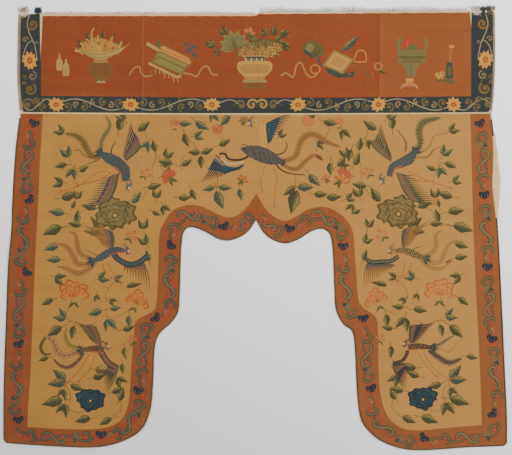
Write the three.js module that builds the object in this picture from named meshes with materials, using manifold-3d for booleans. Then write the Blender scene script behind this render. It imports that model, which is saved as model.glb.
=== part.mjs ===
import * as THREE from "three";
import { mergeVertices } from "three/addons/utils/BufferGeometryUtils.js";
import Module from "manifold-3d";

const wasm = await Module();
wasm.setup();

// Altar cloth of tapestry-woven silk, laid flat with its face up and its heading towards +Y.
// Millimetres, +Z up. The middle of the cloth's box, on the surface it lies on, is the origin.

// Driving dimensions
const LINING_THICKNESS = 1.0;
const TAPESTRY_THICKNESS = 1.2;
const GAP = 0.3;
const PIPING_WIDTH = 2.9;
const PIPING_HEIGHT = 1.9;
const PIPING_INSET = 0.8;
const SEAM_WIDTH = 3.5;
const SEAM_HEIGHT = 2.0;
const SEAM_Y = 236.6;
const SEAM_RISE = 2.6;
const SEAM_HALF_LENGTH = 488;
const BINDING_WIDTH_LEFT = 5.6;
const BINDING_WIDTH_RIGHT = 4.4;
const BINDING_INSET = 0.6;
const BINDING_HEIGHT = 1.6;
const TOP_LEFT = 444.5;
const TOP_RIGHT = 447.8;
const TOP_RIGHT_SLOPE = 0.007;
const BAND_TOP_RIGHT = 447.6;
const LINING_MARGIN = 1.2;
const FRINGE_REACH = 463;
const STRIP_WIDTH = 2.4;
const STRIP_HEIGHT = 1.2;
const STRAND_WIDTH = 1.3;
const STRAND_HEIGHT = 0.9;
const TUFT_FOOT_SHARE = 0.55;
const TUFT_STEP_SHARE = 0.18;
const TUFT_ROOT_SHARE = 0.8;

// Heights of the layers above the surface, where the cloth lies flat
const TAPESTRY_BASE = LINING_THICKNESS + GAP;

// Pressed fold lines that run from heading to feet and stand a little proud
const FOLDS = [
  { x: -235.5, height: 2.2, reach: 18 },
  { x: 6, height: 1.5, reach: 14 },
  { x: 255.5, height: 2.0, reach: 18 },
];

// Low swells, where the cloth does not lie quite down on the surface
const SWELLS = [
  { x: -505, y: -60, reachX: 70, reachY: 150, height: 1.6 },
  { x: 505, y: 100, reachX: 62, reachY: 120, height: 2.4 },
  { x: -105, y: -5, reachX: 80, reachY: 60, height: 1.6 },
  { x: 350, y: -450, reachX: 110, reachY: 60, height: 1.8 },
  { x: -390, y: -300, reachX: 60, reachY: 120, height: 1.4 },
  { x: 130, y: 330, reachX: 75, reachY: 70, height: 1.2 },
];

// Outer line of the upper panel's sides, going down
const UPPER_LEFT_EDGE = [
  { x: -493, y: 445 },
  { x: -494.5, y: 391 },
  { x: -495.5, y: 318 },
  { x: -493.5, y: 276.5 },
  { x: -490, y: 239.2 },
];
const UPPER_RIGHT_EDGE = [
  { x: 499, y: 447.6 },
  { x: 499.2, y: 411.5 },
  { x: 499.5, y: 349 },
  { x: 496.5, y: 276.5 },
  { x: 492, y: 239.2 },
];

// Outer line of the lower panel: down the left side, round the left leg to the arch's point,
// back down the right leg, and up the right side
const LEFT_EDGE = [
  { x: -490, y: 239.2 },
  { x: -499.5, y: 162 },
  { x: -506, y: 58 },
  { x: -508, y: -4.5 },
  { x: -514.5, y: -75 },
  { x: -518.5, y: -171 },
  { x: -523, y: -295.5 },
  { x: -524.5, y: -370 },
  { x: -524.5, y: -441 },
];
const LEFT_LEG = [
  { x: -518.5, y: -448.5 },
  { x: -449.5, y: -453.5 },
  { x: -350, y: -458 },
  { x: -300, y: -452.5 },
  { x: -262.5, y: -439 },
  { x: -237.5, y: -421.5 },
  { x: -223, y: -397.5 },
  { x: -214.5, y: -364 },
  { x: -210.5, y: -306 },
  { x: -208, y: -250 },
  { x: -198, y: -220.5 },
  { x: -173, y: -197 },
  { x: -159.5, y: -175 },
  { x: -156.5, y: -146 },
  { x: -154.5, y: -87.5 },
  { x: -152.5, y: -35.5 },
  { x: -147, y: -8 },
  { x: -131.5, y: 1 },
  { x: -102.5, y: -9.5 },
  { x: -77.5, y: -23.5 },
  { x: -54.5, y: -27 },
  { x: -29.5, y: -19 },
  { x: -11, y: -4.5 },
  { x: 1.5, y: 15.5 },
];
const RIGHT_LEG = [
  { x: 1.5, y: 15.5 },
  { x: 16, y: -9.5 },
  { x: 37, y: -26 },
  { x: 64, y: -33 },
  { x: 91, y: -24 },
  { x: 116, y: -8.5 },
  { x: 138, y: -2.5 },
  { x: 153.5, y: -12.5 },
  { x: 159, y: -35.5 },
  { x: 161.5, y: -71 },
  { x: 163.5, y: -125 },
  { x: 167, y: -171 },
  { x: 182.5, y: -201 },
  { x: 200.5, y: -215.5 },
  { x: 206, y: -245.5 },
  { x: 208.5, y: -299.5 },
  { x: 212.5, y: -362 },
  { x: 220, y: -401.5 },
  { x: 239, y: -427.5 },
  { x: 268, y: -447.5 },
  { x: 305.5, y: -460 },
  { x: 351, y: -463 },
  { x: 438.5, y: -457.5 },
  { x: 517.5, y: -454.5 },
];
const RIGHT_EDGE = [
  { x: 524.5, y: -447.5 },
  { x: 524, y: -380 },
  { x: 519, y: -275 },
  { x: 513.5, y: -150 },
  { x: 506.5, y: -15 },
  { x: 502.5, y: 37 },
  { x: 497, y: 83 },
  { x: 497.5, y: 116.5 },
  { x: 499, y: 162 },
  { x: 496.5, y: 199.5 },
  { x: 492, y: 239.2 },
];

// Stretch of the right side where the lining has slipped out past the woven edge
const SLIPPED_LINING = [
  { x: 499, y: 194 },
  { x: 503, y: 162 },
  { x: 506, y: 131 },
  { x: 509, y: 99.5 },
  { x: 508, y: 74.5 },
  { x: 506, y: 38 },
  { x: 504, y: 16 },
];

// Line of the middle join, where the two widths of tapestry meet, going down
const MIDDLE_JOIN = [
  { x: 4.5, y: 449 },
  { x: 6, y: 349 },
  { x: 7, y: 237 },
  { x: 9, y: 130 },
  { x: 6, y: 60 },
  { x: 1.5, y: 15.5 },
];

// Open slits between the upper panel's ground and its side bands, narrowing downwards
const LEFT_SLIT = { x: -445, top: 460, width: 6.4, bottom: 334, shift: -2.4 };
const RIGHT_SLIT = { x: 448, top: 460, width: 5.2, bottom: 411, shift: 2.2 };

// Where the piping breaks: at the arch's point, and beside the slipped lining
const ARCH_POINT = 1.5;
const SLIP_TOP = 190;
const SLIP_BOTTOM = 22;

// The layers are worked out on one grid, wider than the cloth, and cut to their outlines
const GRID_STEP_X = 62;
const GRID_STEP_Y = 62.5;
const GRID_HALF_X = 558;
const GRID_HALF_Y = 500;
const PRISM_LOW = -3;
const PRISM_HEIGHT = 14;

const smooth = (stations, perRow = 2) =>
  new THREE.SplineCurve(stations.map(({ x, y }) => new THREE.Vector2(x, y))).getPoints(
    (stations.length - 1) * perRow,
  );

const shifted = (points, dx) => points.map((p) => new THREE.Vector2(p.x + dx, p.y));

const reversed = (points) => [...points].reverse();

const seamY = (x) => SEAM_Y + SEAM_RISE * (x / SEAM_HALF_LENGTH) ** 2;

// Height of the right half's top edge, which climbs a little towards its end
const topRight = (x) => TOP_RIGHT + TOP_RIGHT_SLOPE * x;

// Points evenly along the seam line, a given distance above or below it
function alongSeam(from, to, offset, steps = 10) {
  return Array.from({ length: steps + 1 }, (_, i) => {
    const x = from + ((to - from) * i) / steps;
    return new THREE.Vector2(x, seamY(x) + offset);
  });
}

// Rounded hump, 1 at the middle and 0 from one reach away
const hump = (t) => (Math.abs(t) < 1 ? 0.5 + 0.5 * Math.cos(Math.PI * t) : 0);

// How far the cloth stands up from the surface at a point
function lift(x, y) {
  let z = 0;
  for (const { x: at, height, reach } of FOLDS) {
    z += height * (0.85 + 0.15 * Math.sin(y / 60 + at)) * hump((x - at) / reach);
  }
  for (const { x: atX, y: atY, reachX, reachY, height } of SWELLS) {
    z += height * hump(Math.hypot((x - atX) / reachX, (y - atY) / reachY));
  }
  return z;
}

// Grid lines across the cloth: even steps, and closer ones over each fold
function gridColumns() {
  const close = FOLDS.flatMap(({ x, reach }) => [-1, -0.5, 0, 0.5, 1].map((t) => x + t * reach));
  const even = [];
  for (let x = -GRID_HALF_X; x <= GRID_HALF_X; x += GRID_STEP_X) {
    if (FOLDS.every((fold) => Math.abs(x - fold.x) > fold.reach + 8)) even.push(x);
  }
  return [...close, ...even].sort((a, b) => a - b);
}

function gridRows() {
  const rows = [];
  for (let y = -GRID_HALF_Y; y <= GRID_HALF_Y; y += GRID_STEP_Y) rows.push(y);
  return rows;
}

const COLUMNS = gridColumns();
const ROWS = gridRows();

// A wide layer that follows the folds and swells, as a grid with a top, an underside and sides
function layer(base, thickness) {
  const across = COLUMNS.length;
  const down = ROWS.length;
  const positions = [];
  for (const level of [base, base + thickness]) {
    for (const y of ROWS) {
      for (const x of COLUMNS) positions.push(x, y, level + lift(x, y));
    }
  }
  const at = (i, j, top) => (top ? across * down : 0) + j * across + i;
  const triangles = [];
  const quad = (a, b, c, d) => triangles.push(a, b, c, a, c, d);
  for (let j = 0; j < down - 1; j += 1) {
    for (let i = 0; i < across - 1; i += 1) {
      quad(at(i, j, 1), at(i + 1, j, 1), at(i + 1, j + 1, 1), at(i, j + 1, 1));
      triangles.push(at(i, j, 0), at(i + 1, j + 1, 0), at(i + 1, j, 0));
      triangles.push(at(i, j, 0), at(i, j + 1, 0), at(i + 1, j + 1, 0));
    }
  }
  for (let i = 0; i < across - 1; i += 1) {
    quad(at(i, 0, 0), at(i + 1, 0, 0), at(i + 1, 0, 1), at(i, 0, 1));
    quad(at(i + 1, down - 1, 0), at(i, down - 1, 0), at(i, down - 1, 1), at(i + 1, down - 1, 1));
  }
  for (let j = 0; j < down - 1; j += 1) {
    quad(at(0, j + 1, 0), at(0, j, 0), at(0, j, 1), at(0, j + 1, 1));
    quad(at(across - 1, j, 0), at(across - 1, j + 1, 0), at(across - 1, j + 1, 1), at(across - 1, j, 1));
  }
  return new wasm.Manifold(
    new wasm.Mesh({
      numProp: 3,
      vertProperties: new Float32Array(positions),
      triVerts: new Uint32Array(triangles),
    }),
  );
}

// Solid of a closed three.js geometry
function solidOf(geometry) {
  const bare = geometry.clone();
  bare.deleteAttribute("normal");
  bare.deleteAttribute("uv");
  const merged = mergeVertices(bare, 1e-4);
  return new wasm.Manifold(
    new wasm.Mesh({
      numProp: 3,
      vertProperties: new Float32Array(merged.attributes.position.array),
      triVerts: new Uint32Array(merged.index.array),
    }),
  );
}

// Upright solid over a closed outline seen from above
function prism(outline, low = PRISM_LOW, height = PRISM_HEIGHT) {
  const geometry = new THREE.ExtrudeGeometry(new THREE.Shape(outline), {
    depth: height,
    bevelEnabled: false,
    steps: 1,
  });
  geometry.translate(0, 0, low);
  return solidOf(geometry);
}

// Upright solid over a strip of even width along an open line
function strip(line, halfWidth, low, height) {
  const side = (sign) =>
    line.map((point, i) => {
      const before = line[Math.max(i - 1, 0)];
      const after = line[Math.min(i + 1, line.length - 1)];
      const along = after.clone().sub(before).normalize();
      return new THREE.Vector2(point.x - sign * halfWidth * along.y, point.y + sign * halfWidth * along.x);
    });
  return prism([...side(1), ...reversed(side(-1))], low, height);
}

// Closed outline drawn in by an even distance, with mitred corners
function inset(outline, distance) {
  const turn = Math.sign(THREE.ShapeUtils.area(outline));
  return outline.map((point, i) => {
    const before = outline[(i + outline.length - 1) % outline.length];
    const after = outline[(i + 1) % outline.length];
    const into = point.clone().sub(before).normalize();
    const out = after.clone().sub(point).normalize();
    const normal = new THREE.Vector2(-(into.y + out.y), into.x + out.x).normalize();
    const reach = distance / Math.max(0.35, normal.dot(new THREE.Vector2(-into.y, into.x)));
    return point.clone().addScaledVector(normal, turn * reach);
  });
}

// Straight cut with square ends, used to trim a piece to one side of a line
function block(x0, x1, y0, y1) {
  const corners = [new THREE.Vector2(x0, y0), new THREE.Vector2(x1, y0)];
  corners.push(new THREE.Vector2(x1, y1), new THREE.Vector2(x0, y1));
  return prism(corners);
}

// Wedge of an open slit, widest at the top edge
function slitWedge({ x, top, width, bottom, shift }) {
  const corners = [new THREE.Vector2(x - width / 2, top), new THREE.Vector2(x + shift, bottom)];
  corners.push(new THREE.Vector2(x + width / 2, top));
  return prism(corners);
}

const upperLeftEdge = smooth(UPPER_LEFT_EDGE);
const upperRightEdge = smooth(UPPER_RIGHT_EDGE);
const leftEdge = smooth(LEFT_EDGE);
const rightEdge = smooth(RIGHT_EDGE);
const aroundArch = [...smooth(LEFT_LEG), ...smooth(RIGHT_LEG).slice(1)];
const middleJoin = smooth(MIDDLE_JOIN);

// Outline of the lower panel with its piping, closed above the seam, where each use of it is cut off
const CLOSED_AT = 255;
const lowerOutline = [new THREE.Vector2(-490, CLOSED_AT), ...leftEdge, ...aroundArch, ...rightEdge];
lowerOutline.push(new THREE.Vector2(492, CLOSED_AT));

// Outline of the whole lining
function liningOutline() {
  const top = [new THREE.Vector2(499, BAND_TOP_RIGHT + LINING_MARGIN)];
  top.push(new THREE.Vector2(450, BAND_TOP_RIGHT + LINING_MARGIN));
  top.push(new THREE.Vector2(445.8, topRight(445.8) + LINING_MARGIN));
  top.push(new THREE.Vector2(7.5, topRight(7.5) + LINING_MARGIN));
  top.push(new THREE.Vector2(4.5, TOP_LEFT + LINING_MARGIN));
  top.push(new THREE.Vector2(-493, TOP_LEFT + LINING_MARGIN));
  const right = reversed(upperRightEdge).slice(1, -1);
  const left = upperLeftEdge.slice(1, -1);
  return [...leftEdge, ...aroundArch, ...rightEdge, ...right, ...top, ...left];
}

// Cloth that follows the folds inside an upright solid
const sheet = (region, base, thickness) => layer(base, thickness).intersect(region);

const seamBand = (halfWidth) =>
  strip(alongSeam(-GRID_HALF_X, GRID_HALF_X, 0, 20), halfWidth, PRISM_LOW, PRISM_HEIGHT);

const joinBand = () => strip(middleJoin, GAP / 2, PRISM_LOW, PRISM_HEIGHT);

// Everything above or below the seam line
function sideOfSeam(above) {
  const far = above ? GRID_HALF_Y : -GRID_HALF_Y;
  const corners = [new THREE.Vector2(GRID_HALF_X, far), new THREE.Vector2(-GRID_HALF_X, far)];
  return prism([...alongSeam(-GRID_HALF_X, GRID_HALF_X, 0, 20), ...corners]);
}

// Everything left or right of the middle join, which runs on straight above and below the cloth
function sideOfJoin(left) {
  const far = left ? -GRID_HALF_X : GRID_HALF_X;
  const first = middleJoin[0];
  const last = middleJoin[middleJoin.length - 1];
  const line = [new THREE.Vector2(first.x, GRID_HALF_Y), ...middleJoin];
  line.push(new THREE.Vector2(last.x, -GRID_HALF_Y));
  return prism([...line, new THREE.Vector2(far, -GRID_HALF_Y), new THREE.Vector2(far, GRID_HALF_Y)]);
}

// The upper panel's woven outline: ground and side bands, inside the side bindings
function upperWoven() {
  const leftStep = BINDING_INSET + BINDING_WIDTH_LEFT + GAP;
  const rightStep = BINDING_INSET + BINDING_WIDTH_RIGHT + GAP;
  const left = shifted(upperLeftEdge, leftStep);
  const right = shifted(reversed(upperRightEdge), -rightStep);
  const top = [new THREE.Vector2(450, BAND_TOP_RIGHT), new THREE.Vector2(445.8, topRight(445.8))];
  top.push(new THREE.Vector2(10, topRight(10)), new THREE.Vector2(5.5, topRight(5.5) - 2.6));
  top.push(new THREE.Vector2(0, TOP_LEFT - 1.6), new THREE.Vector2(-8, TOP_LEFT));
  return prism([...left, ...right, ...top]);
}

function lining() {
  const whole = prism(liningOutline());
  const slipped = smooth(SLIPPED_LINING);
  const inner = [new THREE.Vector2(470, 16), new THREE.Vector2(470, 194)];
  return sheet(whole.add(prism([...slipped, ...inner])), 0, LINING_THICKNESS);
}

function tapestry(above, left) {
  const clear = SEAM_WIDTH / 2 + GAP;
  const edge = PIPING_INSET + PIPING_WIDTH + GAP;
  let region = above ? upperWoven() : prism(inset(lowerOutline, edge));
  region = region.intersect(sideOfSeam(above)).subtract(seamBand(clear));
  region = region.intersect(sideOfJoin(left)).subtract(joinBand());
  if (above) region = region.subtract(slitWedge(left ? LEFT_SLIT : RIGHT_SLIT));
  return sheet(region, TAPESTRY_BASE, TAPESTRY_THICKNESS);
}

function seamPiping() {
  const line = alongSeam(-SEAM_HALF_LENGTH + 3, SEAM_HALF_LENGTH - 1, 0, 20);
  const region = strip(line, SEAM_WIDTH / 2, PRISM_LOW, PRISM_HEIGHT);
  return sheet(region, TAPESTRY_BASE, SEAM_HEIGHT);
}

// Piping round the lower panel's edge, cut off below the seam
function edgePiping(region) {
  const outer = prism(inset(lowerOutline, PIPING_INSET));
  const inner = prism(inset(lowerOutline, PIPING_INSET + PIPING_WIDTH));
  const ring = outer.subtract(inner).subtract(seamBand(SEAM_WIDTH / 2 + GAP + 1));
  return sheet(ring.intersect(sideOfSeam(false)).intersect(region), TAPESTRY_BASE, PIPING_HEIGHT);
}

// Turned edge down one side of the upper panel
function sideBinding(edge, sign, width) {
  const outer = shifted(edge, sign * BINDING_INSET);
  const inner = shifted(edge, sign * (BINDING_INSET + width));
  const region = prism([...outer, ...reversed(inner)]).subtract(seamBand(SEAM_WIDTH / 2 + GAP + 1));
  return sheet(region.intersect(sideOfSeam(true)), TAPESTRY_BASE, BINDING_HEIGHT);
}

// One loose thread on the surface: three-sided, flat underneath, tapering to its tip
function strand({ x, y, angle, length, bend, width = STRAND_WIDTH, stops = 3 }) {
  const positions = [];
  for (let row = 0; row < stops; row += 1) {
    const t = row / (stops - 1);
    const heading = angle + bend * t;
    const px = x + length * t * Math.sin(angle + 0.5 * bend * t);
    const py = y + length * t * Math.cos(angle + 0.5 * bend * t);
    const half = 0.5 * width * (1 - 0.45 * t);
    const acrossX = half * Math.cos(heading);
    const acrossY = -half * Math.sin(heading);
    positions.push(px - acrossX, py - acrossY, 0, px + acrossX, py + acrossY, 0);
    positions.push(px, py, STRAND_HEIGHT * (1 - 0.3 * t));
  }
  const triangles = [0, 1, 2];
  for (let row = 0; row < 3 * (stops - 1); row += 3) {
    for (const [a, b] of [[0, 1], [1, 2], [2, 0]]) {
      triangles.push(row + a, row + 3 + b, row + b, row + a, row + 3 + a, row + 3 + b);
    }
  }
  const tip = 3 * (stops - 1);
  triangles.push(tip, tip + 2, tip + 1);
  const mesh = new wasm.Mesh({
    numProp: 3,
    vertProperties: new Float32Array(positions),
    triVerts: new Uint32Array(triangles),
  });
  return new wasm.Manifold(mesh);
}

// Frayed warp ends along one half's top edge, rooted in a narrow strip just outside the cloth
function fringe({ from, to, edgeY, pitch, length, sway, stops }) {
  const base = (x) => edgeY(x) + LINING_MARGIN + GAP + STRIP_WIDTH / 2;
  const line = [0, 0.25, 0.5, 0.75, 1].map((t) => {
    const x = from + t * (to - from);
    return new THREE.Vector2(x, base(x));
  });
  const parts = [strip(line, STRIP_WIDTH / 2, 0, STRIP_HEIGHT)];
  const count = Math.floor((to - from) / pitch);
  for (let i = 0; i < count; i += 1) {
    const x = from + pitch * (i + 0.5);
    const wave = Math.sin(i * 2.4) * Math.cos(i * 0.37);
    parts.push(
      strand({
        x,
        y: base(x),
        angle: sway * Math.sin(i * 0.21),
        length: Math.min(length * (0.85 + 0.15 * wave), FRINGE_REACH - base(x) - 0.1),
        bend: sway * Math.cos(i * 0.17),
        stops,
      }),
    );
  }
  return wasm.Manifold.union(parts);
}

// Frayed scrap or tuft at a corner, seated against the cloth's top edge: a stepped lump on the
// surface with threads fanning out of it
function frayedTuft({ x, edgeY, width, depth, height, threads, spread, length }) {
  const y = edgeY + LINING_MARGIN + GAP + depth / 2;
  const outline = new THREE.EllipseCurve(x, y, width / 2, depth / 2).getPoints(12).slice(0, -1);
  const foot = prism(outline, 0, height * TUFT_FOOT_SHARE);
  const crown = prism(inset(outline, Math.min(width, depth) * TUFT_STEP_SHARE), 0, height);
  const parts = [foot, crown];
  for (let i = 0; i < threads; i += 1) {
    const t = (i + 0.5) / threads - 0.5;
    parts.push(
      strand({
        x: x + width * TUFT_ROOT_SHARE * t,
        y,
        angle: spread * t,
        length: length * (0.86 + 0.14 * Math.sin(i * 1.9)),
        bend: 0.35 * Math.sin(i * 1.3),
      }),
    );
  }
  return wasm.Manifold.union(parts);
}

const COLOURS = {
  lining: 0xe2c29a,
  tapestryRed: 0x9a5334,
  tapestryGold: 0xb0824d,
  seam: 0xd8ba92,
  piping: 0x6a4a3e,
  binding: 0x998574,
  cream: 0xddd0b8,
  teal: 0x33464c,
  green: 0x4c5a50,
  brown: 0x7a6c5a,
};

function meshOf(name, solid, colour) {
  const { vertProperties, triVerts } = solid.getMesh();
  const geometry = new THREE.BufferGeometry();
  geometry.setAttribute("position", new THREE.BufferAttribute(vertProperties, 3));
  geometry.setIndex(new THREE.BufferAttribute(triVerts, 1));
  geometry.computeVertexNormals();
  const material = new THREE.MeshStandardMaterial({ color: colour, roughness: 0.85, metalness: 0 });
  const mesh = new THREE.Mesh(geometry, material);
  mesh.name = name;
  return mesh;
}

const altarCloth = new THREE.Group();

altarCloth.add(meshOf("lining", lining(), COLOURS.lining));
for (const [above, row] of [[true, "upper"], [false, "lower"]]) {
  for (const [left, side] of [[true, "left"], [false, "right"]]) {
    const colour = above ? COLOURS.tapestryRed : COLOURS.tapestryGold;
    altarCloth.add(meshOf(`${row}_${side}`, tapestry(above, left), colour));
  }
}
altarCloth.add(meshOf("seam_piping", seamPiping(), COLOURS.seam));

const pipingRegions = {
  edge_piping_left: block(-GRID_HALF_X, ARCH_POINT - GAP / 2, -GRID_HALF_Y, GRID_HALF_Y),
  edge_piping_right: block(ARCH_POINT + GAP / 2, GRID_HALF_X, -GRID_HALF_Y, SLIP_BOTTOM),
  edge_piping_right_top: block(ARCH_POINT + GAP / 2, GRID_HALF_X, SLIP_TOP, GRID_HALF_Y),
};
for (const [name, region] of Object.entries(pipingRegions)) {
  altarCloth.add(meshOf(name, edgePiping(region), COLOURS.piping));
}

const bindings = {
  side_binding_left: sideBinding(upperLeftEdge, 1, BINDING_WIDTH_LEFT),
  side_binding_right: sideBinding(upperRightEdge, -1, BINDING_WIDTH_RIGHT),
};
for (const [name, solid] of Object.entries(bindings)) {
  altarCloth.add(meshOf(name, solid, COLOURS.binding));
}

const fringes = {
  fringe_left: {
    from: -439, to: -1, edgeY: () => TOP_LEFT, pitch: 9, length: 3.8, sway: 0.1, stops: 2,
  },
  fringe_right: {
    from: 12, to: 441, edgeY: topRight, pitch: 4.4, length: 12.6, sway: 0.12, stops: 3,
  },
};
for (const [name, sizes] of Object.entries(fringes)) {
  altarCloth.add(meshOf(name, fringe(sizes), COLOURS.cream));
}

const tufts = {
  scrap_left: {
    x: -481, edgeY: TOP_LEFT, width: 19, depth: 7.4, height: 2.4, threads: 9, spread: 0.7,
    length: 12.3, colour: COLOURS.cream,
  },
  tuft_left: {
    x: -452, edgeY: TOP_LEFT, width: 11, depth: 12.4, height: 4.4, threads: 6, spread: 1.3,
    length: 8.8, colour: COLOURS.teal,
  },
  scrap_right: {
    x: 459.5, edgeY: BAND_TOP_RIGHT, width: 18, depth: 8, height: 2.0, threads: 9, spread: 0.5,
    length: 9.4, colour: COLOURS.cream,
  },
  tuft_right_green: {
    x: 475, edgeY: BAND_TOP_RIGHT, width: 9, depth: 9.6, height: 3.4, threads: 5, spread: 0.6,
    length: 7.0, colour: COLOURS.green,
  },
  tuft_right_brown: {
    x: 489.5, edgeY: BAND_TOP_RIGHT, width: 14, depth: 9.8, height: 3.0, threads: 8, spread: 0.6,
    length: 8.7, colour: COLOURS.brown,
  },
};
for (const [name, { colour, ...sizes }] of Object.entries(tufts)) {
  altarCloth.add(meshOf(name, frayedTuft(sizes), colour));
}

export default altarCloth;
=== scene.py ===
import math

import bpy
import numpy as np
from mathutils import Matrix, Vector
from mathutils.geometry import delaunay_2d_cdt


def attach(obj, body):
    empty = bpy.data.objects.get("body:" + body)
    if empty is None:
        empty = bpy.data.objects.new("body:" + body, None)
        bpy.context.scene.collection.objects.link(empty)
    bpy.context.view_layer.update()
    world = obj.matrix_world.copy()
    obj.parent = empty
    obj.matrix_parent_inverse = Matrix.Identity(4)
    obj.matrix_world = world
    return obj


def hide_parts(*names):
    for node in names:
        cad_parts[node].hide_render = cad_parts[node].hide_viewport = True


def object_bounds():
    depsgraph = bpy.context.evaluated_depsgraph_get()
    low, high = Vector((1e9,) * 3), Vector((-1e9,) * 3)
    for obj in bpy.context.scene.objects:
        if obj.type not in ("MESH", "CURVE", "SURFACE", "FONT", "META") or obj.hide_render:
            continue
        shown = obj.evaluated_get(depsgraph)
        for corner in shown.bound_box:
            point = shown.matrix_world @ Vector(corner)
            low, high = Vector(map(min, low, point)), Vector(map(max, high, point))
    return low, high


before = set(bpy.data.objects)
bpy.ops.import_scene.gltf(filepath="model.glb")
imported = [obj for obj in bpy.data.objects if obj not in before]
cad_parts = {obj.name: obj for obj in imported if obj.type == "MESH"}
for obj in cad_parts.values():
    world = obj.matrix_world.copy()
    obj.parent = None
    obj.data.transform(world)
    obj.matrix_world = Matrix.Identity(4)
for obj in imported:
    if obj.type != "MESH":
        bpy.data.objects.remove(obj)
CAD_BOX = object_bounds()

# Altar cloth of tapestry-woven silk, laid flat with its face up and its heading towards +Y.
# The weave is drawn in millimetres on the flat cloth, and every mesh is made in metres.
MM = 0.001

# Layers of the cloth above the surface it lies on
LINING_THICKNESS = 1.0
TAPESTRY_THICKNESS = 1.2
GAP = 0.3
TAPESTRY_BASE = LINING_THICKNESS + GAP
FACE_HEIGHT = TAPESTRY_BASE + TAPESTRY_THICKNESS

# Pipings, bindings and loose ends
PIPING_WIDTH = 2.9
PIPING_INSET = 0.8
SEAM_WIDTH = 3.5
SEAM_Y = 236.6
SEAM_RISE = 2.6
SEAM_HALF_LENGTH = 488
BINDING_INSET = 0.6
BINDING_WIDTHS = {"left": 5.6, "right": 4.4}
TOP_LEFT = 444.5
TOP_RIGHT = 447.8
TOP_RIGHT_SLOPE = 0.007
BAND_TOP_RIGHT = 447.6
LINING_MARGIN = 1.2

# Pressed folds as (x, height, reach), and low swells as (x, y, reach across, reach along, height)
FOLDS = [(-235.5, 2.2, 18), (6, 1.5, 14), (255.5, 2.0, 18)]
SWELLS = [
    (-505, -60, 70, 150, 1.6),
    (505, 100, 62, 120, 2.4),
    (-105, -5, 80, 60, 1.6),
    (350, -450, 110, 60, 1.8),
    (-390, -300, 60, 120, 1.4),
    (130, 330, 75, 70, 1.2),
]

# Outer lines of the cloth, as (x, y) stations
UPPER_LEFT_EDGE = [(-493, 445), (-494.5, 391), (-495.5, 318), (-493.5, 276.5), (-490, 239.2)]
UPPER_RIGHT_EDGE = [(499, 447.6), (499.2, 411.5), (499.5, 349), (496.5, 276.5), (492, 239.2)]
LEFT_EDGE = [
    (-490, 239.2), (-499.5, 162), (-506, 58), (-508, -4.5), (-514.5, -75), (-518.5, -171),
    (-523, -295.5), (-524.5, -370), (-524.5, -441),
]
LEFT_LEG = [
    (-518.5, -448.5), (-449.5, -453.5), (-350, -458), (-300, -452.5), (-262.5, -439), (-237.5, -421.5),
    (-223, -397.5), (-214.5, -364), (-210.5, -306), (-208, -250), (-198, -220.5), (-173, -197),
    (-159.5, -175), (-156.5, -146), (-154.5, -87.5), (-152.5, -35.5), (-147, -8), (-131.5, 1),
    (-102.5, -9.5), (-77.5, -23.5), (-54.5, -27), (-29.5, -19), (-11, -4.5), (1.5, 15.5),
]
RIGHT_LEG = [
    (1.5, 15.5), (16, -9.5), (37, -26), (64, -33), (91, -24), (116, -8.5), (138, -2.5), (153.5, -12.5),
    (159, -35.5), (161.5, -71), (163.5, -125), (167, -171), (182.5, -201), (200.5, -215.5),
    (206, -245.5), (208.5, -299.5), (212.5, -362), (220, -401.5), (239, -427.5), (268, -447.5),
    (305.5, -460), (351, -463), (438.5, -457.5), (517.5, -454.5),
]
RIGHT_EDGE = [
    (524.5, -447.5), (524, -380), (519, -275), (513.5, -150), (506.5, -15), (502.5, 37), (497, 83),
    (497.5, 116.5), (499, 162), (496.5, 199.5), (492, 239.2),
]
SLIPPED_LINING = [
    (499, 194), (503, 162), (506, 131), (509, 99.5), (508, 74.5), (506, 38), (504, 16),
]
MIDDLE_JOIN = [(4.5, 449), (6, 349), (7, 237), (9, 130), (6, 60), (1.5, 15.5)]

# Line between the lower panel's border and its field, from the seam round both feet and back
FIELD_LEFT = [(-440, 250), (-447, 153.5), (-450.5, 68.5), (-455.5, -25), (-461, -150)]
FIELD_LEFT += [(-464.5, -233), (-467.5, -306), (-472, -368.5), (-473.5, -414)]
FIELD_ROUND_LEFT = [
    (-473.5, -414), (-395.5, -418.5), (-323, -417.5), (-287.5, -406), (-270, -385), (-261.5, -347.5),
    (-257.5, -285), (-252, -218.5), (-246, -192.5), (-212.5, -173), (-205.5, -154), (-202, -87.5),
    (-199.5, -17), (-192.5, 6), (-173, 35), (-144, 47), (-115, 45.5), (-88, 34), (-60.5, 22.5),
    (-38, 26), (-17, 43.5), (-4.5, 61), (3, 70.5),
]
FIELD_ROUND_RIGHT = [
    (3, 70.5), (21, 40.5), (39, 23.5), (62, 14.5), (83, 22.5), (110, 38.5), (138.5, 44), (164, 37),
    (190, 17), (203.5, -10.5), (208.5, -69), (214, -143.5), (223, -163.5), (249, -184), (255, -208),
    (256.5, -293.5), (260.5, -345.5), (274, -389), (299, -413), (336, -421), (426, -413.5),
    (471.5, -410),
]
FIELD_RIGHT = [(471.5, -410), (467.5, -293.5), (461, -171), (454.5, -21), (451.5, 79)]
FIELD_RIGHT += [(450, 151.5), (447, 250)]

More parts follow.
